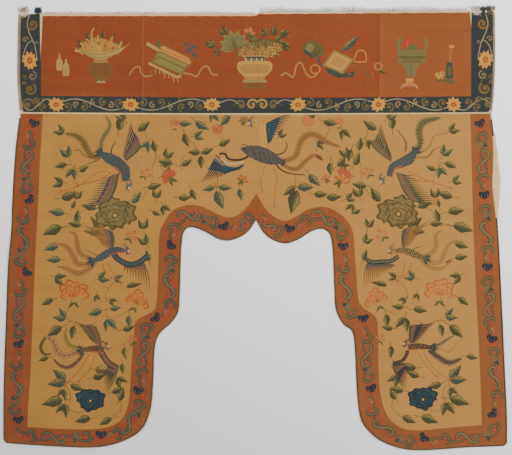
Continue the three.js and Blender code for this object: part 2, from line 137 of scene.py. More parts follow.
# Middle line of the border, and the bats that sit on it
BORDER_LEFT = [
    (-466, 232), (-473, 160), (-478, 60), (-481, 0), (-486, -75), (-491, -171), (-494, -295),
    (-498, -370), (-499, -408), (-486, -430), (-440, -436), (-350, -437), (-300, -431), (-268, -413),
    (-248, -385), (-238, -350), (-234, -306), (-231, -250), (-222, -205), (-192, -183), (-180, -165),
    (-178, -100), (-176, -40), (-167, 0), (-150, 20), (-130, 25), (-95, 12), (-60, -2), (-32, 2),
    (-12, 24), (-4, 40),
]
BORDER_RIGHT = [
    (8, 38), (16, 20), (36, 0), (64, -8), (95, 8), (122, 22), (145, 20), (170, 6), (182, -30),
    (187, -100), (190, -150), (200, -175), (222, -195), (231, -230), (233, -306), (238, -355),
    (250, -390), (272, -420), (305, -438), (360, -443), (440, -437), (485, -433), (500, -415),
    (502, -370), (496, -275), (488, -171), (481, -15), (476, 60), (475, 116), (475, 162), (470, 232),
]
BATS_LEFT = [
    (-461, 214), (-466, 56), (-478, -95), (-490, -245), (-492, -403), (-321, -434), (-244, -342),
    (-204, -190), (-178, -39), (-63, 0),
]
BATS_RIGHT = [
    (70, -5), (183, -42), (226, -192), (243, -337), (348, -439), (497, -389), (491, -234), (483, -85),
    (477, 65), (469, 214),
]

# The silks, in the colours they show
SILKS = {
    # The second rust is painted light: the heading's ground on the lit side of its right fold.
    "rust": (147, 71, 40), "rust_lit": (152, 82, 50), "night": (54, 60, 57),
    "ochre": (176, 130, 79), "brick": (146, 83, 50), "brick_line": (166, 76, 46),
    "brick_red": (155, 74, 47), "cream": (214, 186, 152), "vine": (150, 136, 108),
    "petal": (200, 146, 78), "gold_pale": (198, 152, 90), "apricot": (186, 126, 76),
    "flower_heart": (170, 84, 36), "pink": (176, 104, 80), "coral": (174, 86, 52),
    "rose": (172, 66, 62), "flame": (190, 54, 58), "leg": (164, 90, 50),
    "leaf_dark": (74, 72, 46), "leaf": (100, 92, 54), "leaf_light": (130, 118, 72),
    "sage": (112, 108, 74), "teal": (60, 78, 66), "sea_green": (70, 84, 72),
    "grey_green": (104, 98, 62), "dark_olive": (96, 80, 46), "olive": (124, 102, 58),
    "blue": (42, 50, 62), "slate": (70, 80, 84), "sky": (98, 108, 102),
    "indigo": (40, 42, 54), "mauve": (126, 86, 72), "brown": (126, 88, 52),
    "dark_brown": (84, 60, 40), "tan": (166, 122, 76), "gold": (186, 140, 82),
    "straw": (168, 140, 88), "pale": (190, 166, 128), "vase": (128, 82, 46),
    "vase_line": (118, 94, 56), "deep_teal": (40, 76, 80), "umber": (144, 98, 58),
    "umber_light": (162, 116, 68), "mouse": (88, 80, 72), "clay": (164, 110, 76),
    "blush": (188, 122, 82), "soot": (50, 44, 40), "peony_green": (122, 106, 68),
    "peony_light": (146, 126, 82), "scroll": (98, 92, 68), "scroll_light": (118, 108, 80),
    "scroll_dark": (62, 62, 54), "lining": (206, 182, 142),
}
SILK_NAMES = list(SILKS)


# How far the studio's lamps and the display dull a colour
LAMP_GAIN = 0.78
LAMP_CONTRAST = 1.3
LAMP_SATURATION = 1.26
BRIGHTNESS = np.array([0.2126, 0.7152, 0.0722])


def albedo(rgb):
    """Colour that shows as the sRGB triple from 0 to 255 once it is under the scene's lamps."""
    c = np.asarray(rgb, float) / 255
    c = np.where(c <= 0.04045, c / 12.92, ((c + 0.055) / 1.055) ** 2.4)
    grey = c @ BRIGHTNESS
    c = np.clip(grey + (c - grey) * LAMP_SATURATION, 0.0001, None)
    return np.clip(LAMP_GAIN * c * (c @ BRIGHTNESS) ** (LAMP_CONTRAST - 1), 0, 0.85)


def spline(rows, per_row=5):
    """Smooth line through the rows: the Catmull-Rom cubic on each span, with its end rows doubled."""
    p = np.asarray(rows, float)
    p = np.vstack([p[:1], p, p[-1:]])
    t = np.linspace(0, 1, per_row, endpoint=False)[None, :, None]
    a, b, c, d = (q[:, None, :] for q in (p[:-3], p[1:-2], p[2:-1], p[3:]))
    cubic = 2 * b + (c - a) * t + (2 * a - 5 * b + 4 * c - d) * t**2 + (3 * b - a - 3 * c + d) * t**3
    return np.vstack([0.5 * cubic.reshape(-1, p.shape[1]), p[-1:]])


def even(path, step):
    """The same line with its points one even step apart along it."""
    path = np.asarray(path, float)
    along = np.r_[0, np.cumsum(np.linalg.norm(np.diff(path, axis=0), axis=1))]
    count = max(2, int(round(along[-1] / step)) + 1)
    stops = np.linspace(0, along[-1], count)
    return np.column_stack([np.interp(stops, along, path[:, i]) for i in range(path.shape[1])])


def finely(outline, longest=7.0):
    """Closed outline with points added on every edge that is longer than the longest allowed."""
    after = np.roll(outline, -1, axis=0)
    parts = np.ceil(np.linalg.norm(after - outline, axis=1) / longest).astype(int)
    if parts.max() <= 1:
        return outline
    rows = [a + (b - a) * np.arange(n)[:, None] / n for a, b, n in zip(outline, after, parts)]
    return np.round(np.vstack(rows), 2)


def sideways(path):
    """Unit normals to the left of a line's direction."""
    way = np.gradient(np.asarray(path, float), axis=0)
    way /= np.linalg.norm(way, axis=1, keepdims=True) + 1e-9
    return np.column_stack([-way[:, 1], way[:, 0]])


def hump(t):
    """Half a cosine wave: 1 where t is 0, and 0 from 1 on."""
    t = np.clip(np.abs(t), 0, 1)
    return 0.5 + 0.5 * np.cos(np.pi * t)


def lift(x, y):
    """How far the cloth stands up from the surface: the sum of its folds' and swells' humps."""
    x, y = np.asarray(x, float), np.asarray(y, float)
    z = np.zeros_like(x)
    for at, height, reach in FOLDS:
        z += height * (0.85 + 0.15 * np.sin(y / 60 + at)) * hump((x - at) / reach)
    for at_x, at_y, reach_x, reach_y, height in SWELLS:
        z += height * hump(np.hypot((x - at_x) / reach_x, (y - at_y) / reach_y))
    return z


def seam_y(x):
    """The seam's middle line, which rises a little towards both ends."""
    return SEAM_Y + SEAM_RISE * (np.asarray(x, float) / SEAM_HALF_LENGTH) ** 2


def top_right(x):
    """Top edge of the heading's right half."""
    return TOP_RIGHT + TOP_RIGHT_SLOPE * np.asarray(x, float)


def along_seam(start, stop, offset, count):
    """Points along the seam, or beside it by an offset."""
    x = np.linspace(start, stop, count)
    return np.column_stack([x, seam_y(x) + offset])


def drawn_in(outline, distance):
    """Closed outline moved inwards by an even distance, with mitred corners."""
    q = np.asarray(outline, float)
    into = q - np.roll(q, 1, axis=0)
    out = np.roll(q, -1, axis=0) - q
    into /= np.linalg.norm(into, axis=1, keepdims=True) + 1e-9
    out /= np.linalg.norm(out, axis=1, keepdims=True) + 1e-9
    normal = np.column_stack([-(into + out)[:, 1], (into + out)[:, 0]])
    normal /= np.linalg.norm(normal, axis=1, keepdims=True) + 1e-9
    share = np.maximum(0.35, (normal * np.column_stack([-into[:, 1], into[:, 0]])).sum(1))
    return q + normal * (distance / share)[:, None]


def inside(points, outline):
    """True for each point within a closed outline, by the even-odd rule."""
    x1, y1 = outline.T
    x2, y2 = np.roll(outline, -1, axis=0).T
    held = np.zeros(len(points), bool)
    for start in range(0, len(points), 20000):
        p = points[start : start + 20000]
        y = p[:, 1:]
        slope = (x2 - x1) / (y2 - y1 + 1e-12)
        crossed = ((y1 > y) != (y2 > y)) & (p[:, :1] < slope * (y - y1) + x1)
        held[start : start + 20000] = crossed.sum(1) % 2 == 1
    return held


class Pattern:
    """The areas of a weave in the order they are laid, each a closed outline and its silk.

    While flip is set, what is drawn is mirrored about the cloth's middle; moved shifts it."""

    def __init__(self):
        self.areas = []
        self.upright()

    def upright(self):
        self.flip = False
        self.moved = (0.0, 0.0)

    def area(self, outline, silk):
        q = np.array(outline, float)
        if self.flip:
            q[:, 0] = -q[:, 0]
        q = finely(np.round(q + self.moved, 2))
        self.areas.append((q, SILK_NAMES.index(silk)))

    def line(self, path, width, silk):
        """A ribbon along a path, as one four-sided area for each step. Its width is a number, one
        for each point, or the pair of widths that it runs between."""
        path = np.asarray(path, float)
        if isinstance(width, tuple):
            width = np.linspace(*width, len(path))
        half = 0.5 * np.broadcast_to(width, len(path))[:, None] * sideways(path)
        left, right = path + half, path - half
        for i in range(len(path) - 1):
            self.area([left[i], left[i + 1], right[i + 1], right[i]], silk)

    def disc(self, at, radius, silk, count=10, stretch=1.0, turn=0.0):
        a = np.linspace(0, 2 * np.pi, count, endpoint=False)
        oval = np.column_stack([radius * np.cos(a), radius * stretch * np.sin(a)])
        self.area(placed(oval, at, turn), silk)


def placed(points, at=(0, 0), turn=0.0, size=1.0):
    """Points sized, turned anticlockwise and moved."""
    c, s = math.cos(turn), math.sin(turn)
    return size * np.asarray(points, float) @ np.array([[c, s], [-s, c]]) + np.asarray(at, float)


def spot(x, y, at, turn, size=1.0):
    """One point given from a figure's own middle, placed with the figure."""
    return placed([(x, y)], at, turn, size)[0]


def ray(turn):
    """Unit step in a direction."""
    return np.array([math.cos(turn), math.sin(turn)])


def blade(spine, half):
    """Closed outline round a spine, with half its width across it at each point."""
    return np.vstack([spine + half, (spine - half)[-2:0:-1]])


def outer_first(count):
    """Numbers from 0 to count - 1 with the outer ones first."""
    return sorted(range(count), key=lambda i: -abs(i - (count - 1) / 2))


def curl(at, turn, length, twist, count):
    """A hooked tendril: its heading is turn + twist * t ** 1.6, summed step by step along it."""
    t = np.linspace(0, 1, count)
    heading = turn + twist * t**1.6
    steps = length / (count - 1) * np.column_stack([np.cos(heading), np.sin(heading)])
    return np.asarray(at, float) + np.vstack([[0, 0], np.cumsum(steps[:-1], axis=0)])


def double_curl(length, twist, mirrored_ends, count=28):
    """A scroll with a spiral at each end: its heading is twist * t squared for an S, and
    twist * t * |t| for a C, with t from -1 to 1, and its chord is laid along +X."""
    t = np.linspace(-1, 1, count)
    heading = twist * (t * np.abs(t) if mirrored_ends else t**2)
    path = np.cumsum(np.column_stack([np.cos(heading), np.sin(heading)]), axis=0)
    chord = path[-1] - path[0]
    path = placed(path - path.mean(0), turn=-math.atan2(chord[1], chord[0]))
    return path * length / np.ptp(path[:, 0])


# Flowers and leaves

LEAF_KINDS = {
    "green": ("leaf_dark", "leaf", "leaf_light"),
    "olive": ("leaf_dark", "dark_olive", "leaf_light"),
    "grey": ("teal", "grey_green", "leaf_light"),
    "brown": ("dark_olive", "olive", "straw"),
    "teal": ("teal", "sage", "leaf_light"),
}


def leaf(p, at, turn, length, width, bend, kind):
    """A leaf along its spine: half its width is width / 2 * sin(pi * t ** 0.72) ** 1.2, a little toothed,
    and the spine bends by bend * t squared. The side that faces down is dark, and the other has a
    pale stripe."""
    dark, middle, light = LEAF_KINDS[kind]
    t = np.linspace(0, 1, 10)
    spine = length * np.column_stack([t, bend * t**2])
    teeth = 1 + 0.07 * np.sin(5.5 * np.pi * t)
    down = -1 if math.cos(turn) * 0.8 - math.sin(turn) * 0.45 > 0 else 1
    half = 0.5 * width * down * (teeth * np.sin(np.pi * t**0.72) ** 1.2)[:, None] * [0, 1]
    p.area(placed(blade(spine, -half), at, turn), middle)
    p.area(placed(np.vstack([spine, (spine + half)[-2:0:-1]]), at, turn), dark)
    stripe = np.vstack([spine[2:-2] - 0.8 * half[2:-2], (spine - 0.34 * half)[-3:1:-1]])
    p.area(placed(stripe, at, turn), light)
    for i in (2, 4, 6):
        vein = np.vstack([spine[i], spine[i + 1] + 0.72 * half[i + 1]])
        p.line(placed(vein, at, turn), 0.9, middle)
        vein = np.vstack([spine[i], spine[i + 1] - 0.9 * half[i + 1]])
        p.line(placed(vein, at, turn), 0.8, dark)


def spray(p, x, y, turn, reach, count, kind="green"):
    """Leaves fanned from one stalk, the middle one longest; turn is in degrees."""
    turn = math.radians(turn)
    root = np.array([x, y], float)
    stalk = root - 0.4 * reach * ray(turn)
    p.line(np.vstack([stalk, root]), 1.2, "dark_olive")
    for i in range(count):
        t = 0.0 if count == 1 else 2 * i / (count - 1) - 1
        length = 1.08 * reach * (1 - 0.22 * abs(t) + 0.06 * math.sin(3 * x + i))
        bend = -0.22 * t if t else 0.14
        leaf(p, root, turn + 0.65 * t, length, 0.5 * length, bend, kind)


def petal_rim(reach, breadth, lobes):
    """A fan-shaped petal from the origin along +X, its rim waved by small scallops."""
    a = np.linspace(-1, 1, 15)
    rim = 1 - 0.16 * a**2 + 0.07 * np.cos(np.pi * lobes * a)
    angle = a * breadth
    fan = np.column_stack([rim * np.cos(angle), rim * np.sin(angle)]) * reach
    return np.vstack([[0.08 * reach, 0], fan])


def blossom(p, at, radius, silks, rings, turn, stretch=0.9):
    """A full-blown flower seen a little from above: rings of broad petals that overlap, from the
    outside in, each ring set lower. A petal is dark at its rim, with a lighter belly and folds."""
    dark, middle, light = silks
    for k, count in enumerate(rings):
        for i in range(count):
            stray = math.sin(3.1 * i + 5.0 * k + 9 * turn)
            way = turn + 2 * np.pi * (i + 0.5 * k) / count + 0.16 * stray
            reach = radius * (1 - 0.27 * k) * (1 + 0.1 * math.sin(2.3 * i + 7 * turn + k))
            root = np.array([0, -0.07 * radius * k])
            for size, silk in ((1.0, dark), (0.87, middle), (0.62, light if i % 2 else middle)):
                rim = petal_rim(reach * size, 1.5 * np.pi / count, 2) + [0.04 * reach, 0]
                p.area((placed(rim, (0, 0), way) + root) * [1, stretch] + at, silk)
            for side in (-0.5, 0.0, 0.5):
                fold = placed([(0.3 * reach, side * 0.2 * reach),
                               (0.8 * reach, side * 0.56 * reach)], root, way)
                p.line(fold * [1, stretch] + at, 0.9, dark)
    heart = np.array(at) - [0, 0.1 * radius]
    p.disc(heart, 0.18 * radius, dark, 8)
    p.disc(heart, 0.1 * radius, "gold", 6)


def peony(p, at, width, turn, silks, seed):
    """A peony seen from the side, opening along turn: three rows of scalloped petals fanned over
    its cup, the back row widest, each petal dark at its rim and lighter in its belly."""
    rim_silk, belly, heart = silks
    rows = ((6, 0.5, 1.7, 0.0), (4, 0.4, 1.2, 0.06), (3, 0.28, 0.9, 0.12), (2, 0.18, 0.5, 0.14))
    for k, (count, reach, fan, drop) in enumerate(rows):
        root = np.array(at) - width * drop * ray(turn)
        for i in outer_first(count):
            off = 2 * i / (count - 1) - 1
            way = turn + fan * off + 0.1 * math.sin(seed + 3 * i + k)
            length = width * reach * (1 + 0.12 * math.sin(seed + 2.1 * i + 1.7 * k))
            for size, silk in ((1.0, rim_silk), (0.87, belly), (0.6, heart if k > 1 else "ochre")):
                rim = petal_rim(length * size, 1.6 * fan / count, 1) + [0.06 * length, 0]
                p.area(placed(rim, root, way), silk)
            for side in (-0.12, 0.12):
                fold = placed([(0.3 * length, 0), (0.84 * length, side * length)], root, way)
                p.line(fold, 0.8, rim_silk)
    foot = np.array(at) - 0.3 * width * ray(turn)
    leaf(p, foot, turn + 2.2, 0.3 * width, 0.13 * width, 0.2, "green")
    leaf(p, foot, turn - 2.2, 0.3 * width, 0.13 * width, -0.2, "grey")


def star_flower(p, at, radius, turn, stretch):
    """The heading's round flower: two layers of ten pointed petals that the ground shows between,
    a coral ring and a dark heart."""
    layers = ((1.0, "petal", "tan"), (0.74, "gold_pale", "coral"))
    for layer, (reach, silk, line_silk) in enumerate(layers):
        for i in range(10):
            way = turn + 2 * np.pi * (i + 0.5 * layer) / 10
            length = radius * reach * (1 + 0.09 * math.sin(5 * i + 3 * turn))
            t = np.linspace(0, 1, 7)
            half = radius * 0.21 * np.sin(np.pi * t**1.3)[:, None] * [0, 1]
            spine = np.column_stack([length * t, 0.06 * length * np.sin(2 * i) * t**2])
            outline = placed(blade(spine, half), (0, 0), way)
            p.area(outline * [1, stretch] + at, silk)
            tip = placed([(0.4 * length, 0), (0.86 * length, 0)], (0, 0), way)
            p.line(tip * [1, stretch] + at, 0.9, line_silk)
    p.disc(at, 0.36 * radius, "coral", 12, stretch)
    p.disc(at, 0.26 * radius, "flower_heart", 10, stretch)
    p.disc(at, 0.12 * radius, "gold", 6, stretch)


def half_daisy(p, at, radius, turn, silks, petals=9):
    """A flower seen from the side: narrow petals in a part circle over a green cup."""
    for i in range(petals):
        way = turn + 2.6 * (i / (petals - 1) - 0.5)
        length = radius * (1 + 0.1 * math.sin(7 * i))
        t = np.linspace(0, 1, 6)
        half = radius * 0.2 * np.sin(np.pi * t**0.8)[:, None] * [0, 1]
        spine = np.column_stack([length * (0.15 + 0.85 * t), 0.1 * length * t**2 * (way - turn)])
        p.area(placed(blade(spine, half), at, way), silks[i % 2])
        p.line(placed(spine[1:-1], at, way), 0.8, silks[2])
    leaf(p, at, turn + 2.5, 0.8 * radius, 0.36 * radius, 0.2, "green")
    leaf(p, at, turn - 2.5, 0.8 * radius, 0.36 * radius, -0.2, "green")
    p.disc(at, 0.24 * radius, "leaf", 8)


def sprig(p, at, turn, size):
    """A twig with three small five-petalled flowers and two small leaves."""
    for k, (reach, side) in enumerate(((16, 0.0), (11, 0.8), (12, -0.85))):
        way = turn + side
        head = np.array(at) + size * reach * ray(way)
        p.line(np.vstack([at, head]), 0.9, "dark_olive")
        for i in range(5):
            petal = spot(2.6 * size, 0, head, way + 2 * np.pi * i / 5 + k)
            p.disc(petal, 2.1 * size, "pink" if (i + k) % 2 else "coral", 6)
        p.disc(head, 1.3 * size, "gold", 6)
    leaf(p, at, turn + 1.9, 11 * size, 5 * size, 0.2, "green")
    leaf(p, at, turn - 1.8, 10 * size, 5 * size, -0.2, "teal")


def lotus(p, at, radius, turn, silks):
    """A cupped flower seen from the side: seven pointed petals fanned over half a circle, each
    edged in a lighter silk, the outer ones laid first."""
    edge, fill, heart = silks
    for i in outer_first(7):
        off = i / 3 - 1
        way = turn + 1.35 * off
        length = radius * (1.15 - 0.15 * off**2)
        t = np.linspace(0, 1, 8)
        for size, silk in ((1.0, edge), (0.8, fill), (0.45, heart)):
            half = radius * 0.3 * size * np.sin(np.pi * t**0.75)[:, None] * [0, 1]
            spine = np.column_stack([length * size * t, 0.1 * length * off * t**2])
            p.area(placed(blade(spine, half), at, way), silk)


# Birds

# For each kind of bird: body, scales, pale scales, warm touch
BIRD_SILKS = {
    "slate": ("slate", "sky", "sage", "brown"),
    "grey": ("mouse", "sky", "slate", "apricot"),
    "teal": ("slate", "sky", "sage", "mauve"),
    "brown": ("brown", "dark_brown", "mauve", "pink"),
    "dark": ("dark_brown", "mauve", "clay", "coral"),
    "faded_and_lit": ("grey_green", "straw", "sage", "coral"),
}
# For each kind of wing: blades, their shine, coverts, near coverts, and the coverts' share of it
WING_SILKS = {
    "night": ("blue", "slate", "mauve", "grey_green", 0.42),
    "sea": ("blue", "slate", "deep_teal", "deep_teal", 0.5),
    "dusk": ("blue", "slate", "sky", "blush", 0.16),
    "earth": ("brown", "umber_light", "mauve", "sea_green", 0.3),
    "pine": ("leaf_dark", "sage", "mauve", "grey_green", 0.28),
    "ink": ("soot", "mouse", "mauve", "dark_olive", 0.26),
    "reed": ("leaf_dark", "sage", "mauve", "brown", 0.34),
}


def rump(p, at, turn, reach, silks, count=9, spread=1.7):
    """Short spiky feathers fanned from a bird's tail end, or round its neck."""
    for i in range(count):
        t = 2 * i / (count - 1) - 1
        way = turn + 0.5 * spread * t
        length = reach * (1 - 0.3 * abs(t) + 0.12 * math.sin(4 * i))
        root = np.array(at, float) + 3.2 * t * np.array([-math.sin(turn), math.cos(turn)])
        spike = [(-4, -1.9), (0.5 * length, -1.5), (length, 0), (0.5 * length, 1.5), (-4, 1.9)]
        p.area(placed(spike, root, way), silks[i % 3])


def scaled_body(p, path, girth, silks):
    """A ribbon whose width runs through girth, covered by rows of small arcs as scales."""
    dark, light, pale = silks[:3]
    line = spline(path)
    width = np.interp(np.linspace(0, 1, len(line)), np.linspace(0, 1, len(girth)), girth)
    p.line(line, width, dark)
    p.line(line, 0.55 * width, "sea_green" if dark == "slate" else dark)
    fine = even(line, 3.9)
    span = np.interp(np.linspace(0, 1, len(fine)), np.linspace(0, 1, len(girth)), girth)
    normal = sideways(fine)
    way = np.column_stack([normal[:, 1], -normal[:, 0]])
    for i in range(1, len(fine) - 1):
        count = max(1, int(span[i] / 4.6))
        for k in range(count):
            across = (k - (count - 1) / 2 + 0.5 * (i % 2) - 0.25) * 4.6
            if abs(across) > 0.5 * span[i] - 1.2:
                continue
            a = np.linspace(-1.25, 1.25, 3)[:, None]
            mid = fine[i] + across * normal[i]
            arc = mid + 2.1 * (np.sin(a) * normal[i] + np.cos(a) * way[i])
            p.line(arc, 1.1, light if (i + k) % 3 else pale)
            p.line(arc - 1.5 * way[i], 1.6, "blue" if dark == "slate" else "dark_brown")


def wing(p, shoulder, wrist, trail, tip, blades, kind):
    """Long thin blades from the bowed line shoulder to wrist, out to the line trail to tip, under
    two rows of coverts and a dark leading edge. The ground shows between the blades in the outer
    half of the wing, and light silk in the inner half."""
    dark, light, warm, near, share = WING_SILKS[kind]
    shoulder, wrist, trail, tip = (np.array(q, float) for q in (shoulder, wrist, trail, tip))
    bow = 0.5 * (shoulder + wrist) + 0.12 * (wrist - trail)
    front = even(spline([shoulder, bow, wrist], 6), 1.5)
    t = np.linspace(0, 1, 8)[:, None]
    slim = 0.13 * np.linalg.norm(tip - trail) / blades + 0.45
    taper = slim * np.where(t < 0.5, 1.3 - 0.6 * t, 1.0 - np.clip((t - 0.5) / 0.5, 0, 1) ** 1.8)
    ends = [(front[int((0.04 + 0.96 * u) * (len(front) - 1))], trail + u**0.9 * (tip - trail))
            for u in np.linspace(0, 1, blades)]
    shaded = np.array([root + 0.5 * (end - root) for root, end in ends])
    p.area(np.vstack([front, shaded[::-1]]), light)
    for root, end in ends:
        side = np.array([-(end - root)[1], (end - root)[0]])
        spine = root + t * (end - root) + 0.07 * np.sin(np.pi * t) * side
        side = side / (np.linalg.norm(side) + 1e-9)
        p.area(np.vstack([spine + taper * side, (spine - taper * side)[::-1]]), dark)
    for row, (reach, silk) in enumerate(((share, warm), (0.48 * share, near))):
        base = np.array([root + 0.86 * reach * (end - root) for root, end in ends])
        p.area(np.vstack([front, base[::-1]]), silk)
        for i, (root, end) in enumerate(ends):
            way = math.atan2(*(end - root)[::-1])
            length = reach * (1 + 0.08 * (i % 2)) * np.linalg.norm(end - root)
            half = 0.6 * np.linalg.norm(wrist - shoulder) / blades
            feather = [(0.5, 1), (0.9, 0.7), (1, 0), (0.9, -0.7), (0.5, -1)]
            p.area(placed(feather * np.array([length, half]), root, way), silk)
            shaft = placed([(0.4 * length, half), (0.92 * length, half)], root, way)
            p.line(shaft, 0.8, "brown" if row else dark)
    p.line(front, 2.6, "soot")
    p.line(front, 0.9, light)


def plume(p, style, width, silks, path):
    """A tail feather along a smooth line. Thin ones are one ribbon, serrated ones have barbs down
    both sides, plain ones are ribbons in three tones, and eyed ones carry a row of spots too."""
    dark = silks[0]
    line = even(spline(path), 3.4)
    t = np.linspace(0, 1, len(line))
    swell = np.sin(np.pi * np.clip(0.12 + 0.86 * t, 0, 1)) ** 0.6
    normal = sideways(line)
    if style == "thin":
        p.line(line, width * (1 - 0.5 * t), dark)
        return
    light = silks[1]
    if style == "serrated":
        p.line(line, 0.55 * width * swell, light)
        for i in range(1, len(line) - 1):
            for side in (1, -1):
                way = np.array([normal[i][1], -normal[i][0]])
                root = line[i] + 0.12 * width * side * normal[i]
                tip = line[i] + 0.56 * width * swell[i] * side * normal[i] + 3.4 * way
                silk = dark if i % 2 else light
                p.area([root - 1.5 * way, root + 1.7 * way, tip], silk)
        p.line(line, 1.3, dark)
        return
    p.line(line, width * swell, dark)
    p.line(line, 0.74 * width * swell, light)
    p.line(line, 0.22 * width * swell, dark)
    p.line(line + 0.24 * width * normal, 0.8, silks[2])
    if style == "eyed":
        for i in range(2, len(line) - 2, 3):
            p.disc(line[i], 0.24 * width, silks[3], 7)
            p.disc(line[i], 0.1 * width, dark, 5)


def leg(p, path):
    """A thin leg with three toes spread from its end."""
    line = spline(path, 4)
    p.line(line, 1.6, "leg")
    way = math.atan2(*(line[-1] - line[-2])[::-1])
    for turn in (-0.9, 0.0, 0.9):
        p.line(curl(line[-1], way + turn, 9, 0.7, 5), (1.5, 0.7), "leg")


def bird_head(p, at, turn, up, silks):
    """A small head with its crown to the left of its beak's direction, or to the right where up is
    -1: face, hooked beak, eye, wattle, three crest curls and four neck feathers."""
    dark, light, _, warm = silks
    size = 1.1
    p.disc(at, 5.4 * size, dark, 10, 0.8, turn)
    p.disc(spot(1.6 * size, 0, at, turn), 3.6 * size, "pale", 9, 0.8, turn)
    beak = [(3.2, 2.0), (10.5, -0.4), (8.2, -2.4), (3.4, -1.8)]
    p.area(placed(np.array(beak) * [1, up], at, turn, size), "gold")
    p.disc(spot(2.2, 0.8 * up, at, turn, size), size, "indigo", 6)
    p.disc(spot(3.4, -4.4 * up, at, turn, size), 2.2 * size, "coral", 7)
    for i in range(3):
        root = spot(-2.0 - 1.4 * i, 3.6 * up, at, turn, size)
        path = curl(root, turn + up * (2.3 - 0.35 * i), 13 * size, up * 1.6, 9)
        p.line(path, (1.7, 0.9), light if i % 2 else dark)
    for i in range(4):
        root = spot(-4.0, (2.4 - 1.6 * i) * up, at, turn, size)
        p.line(curl(root, turn + np.pi - 0.3 * up * i, 8 * size, 0.6, 5), 1.1, warm)


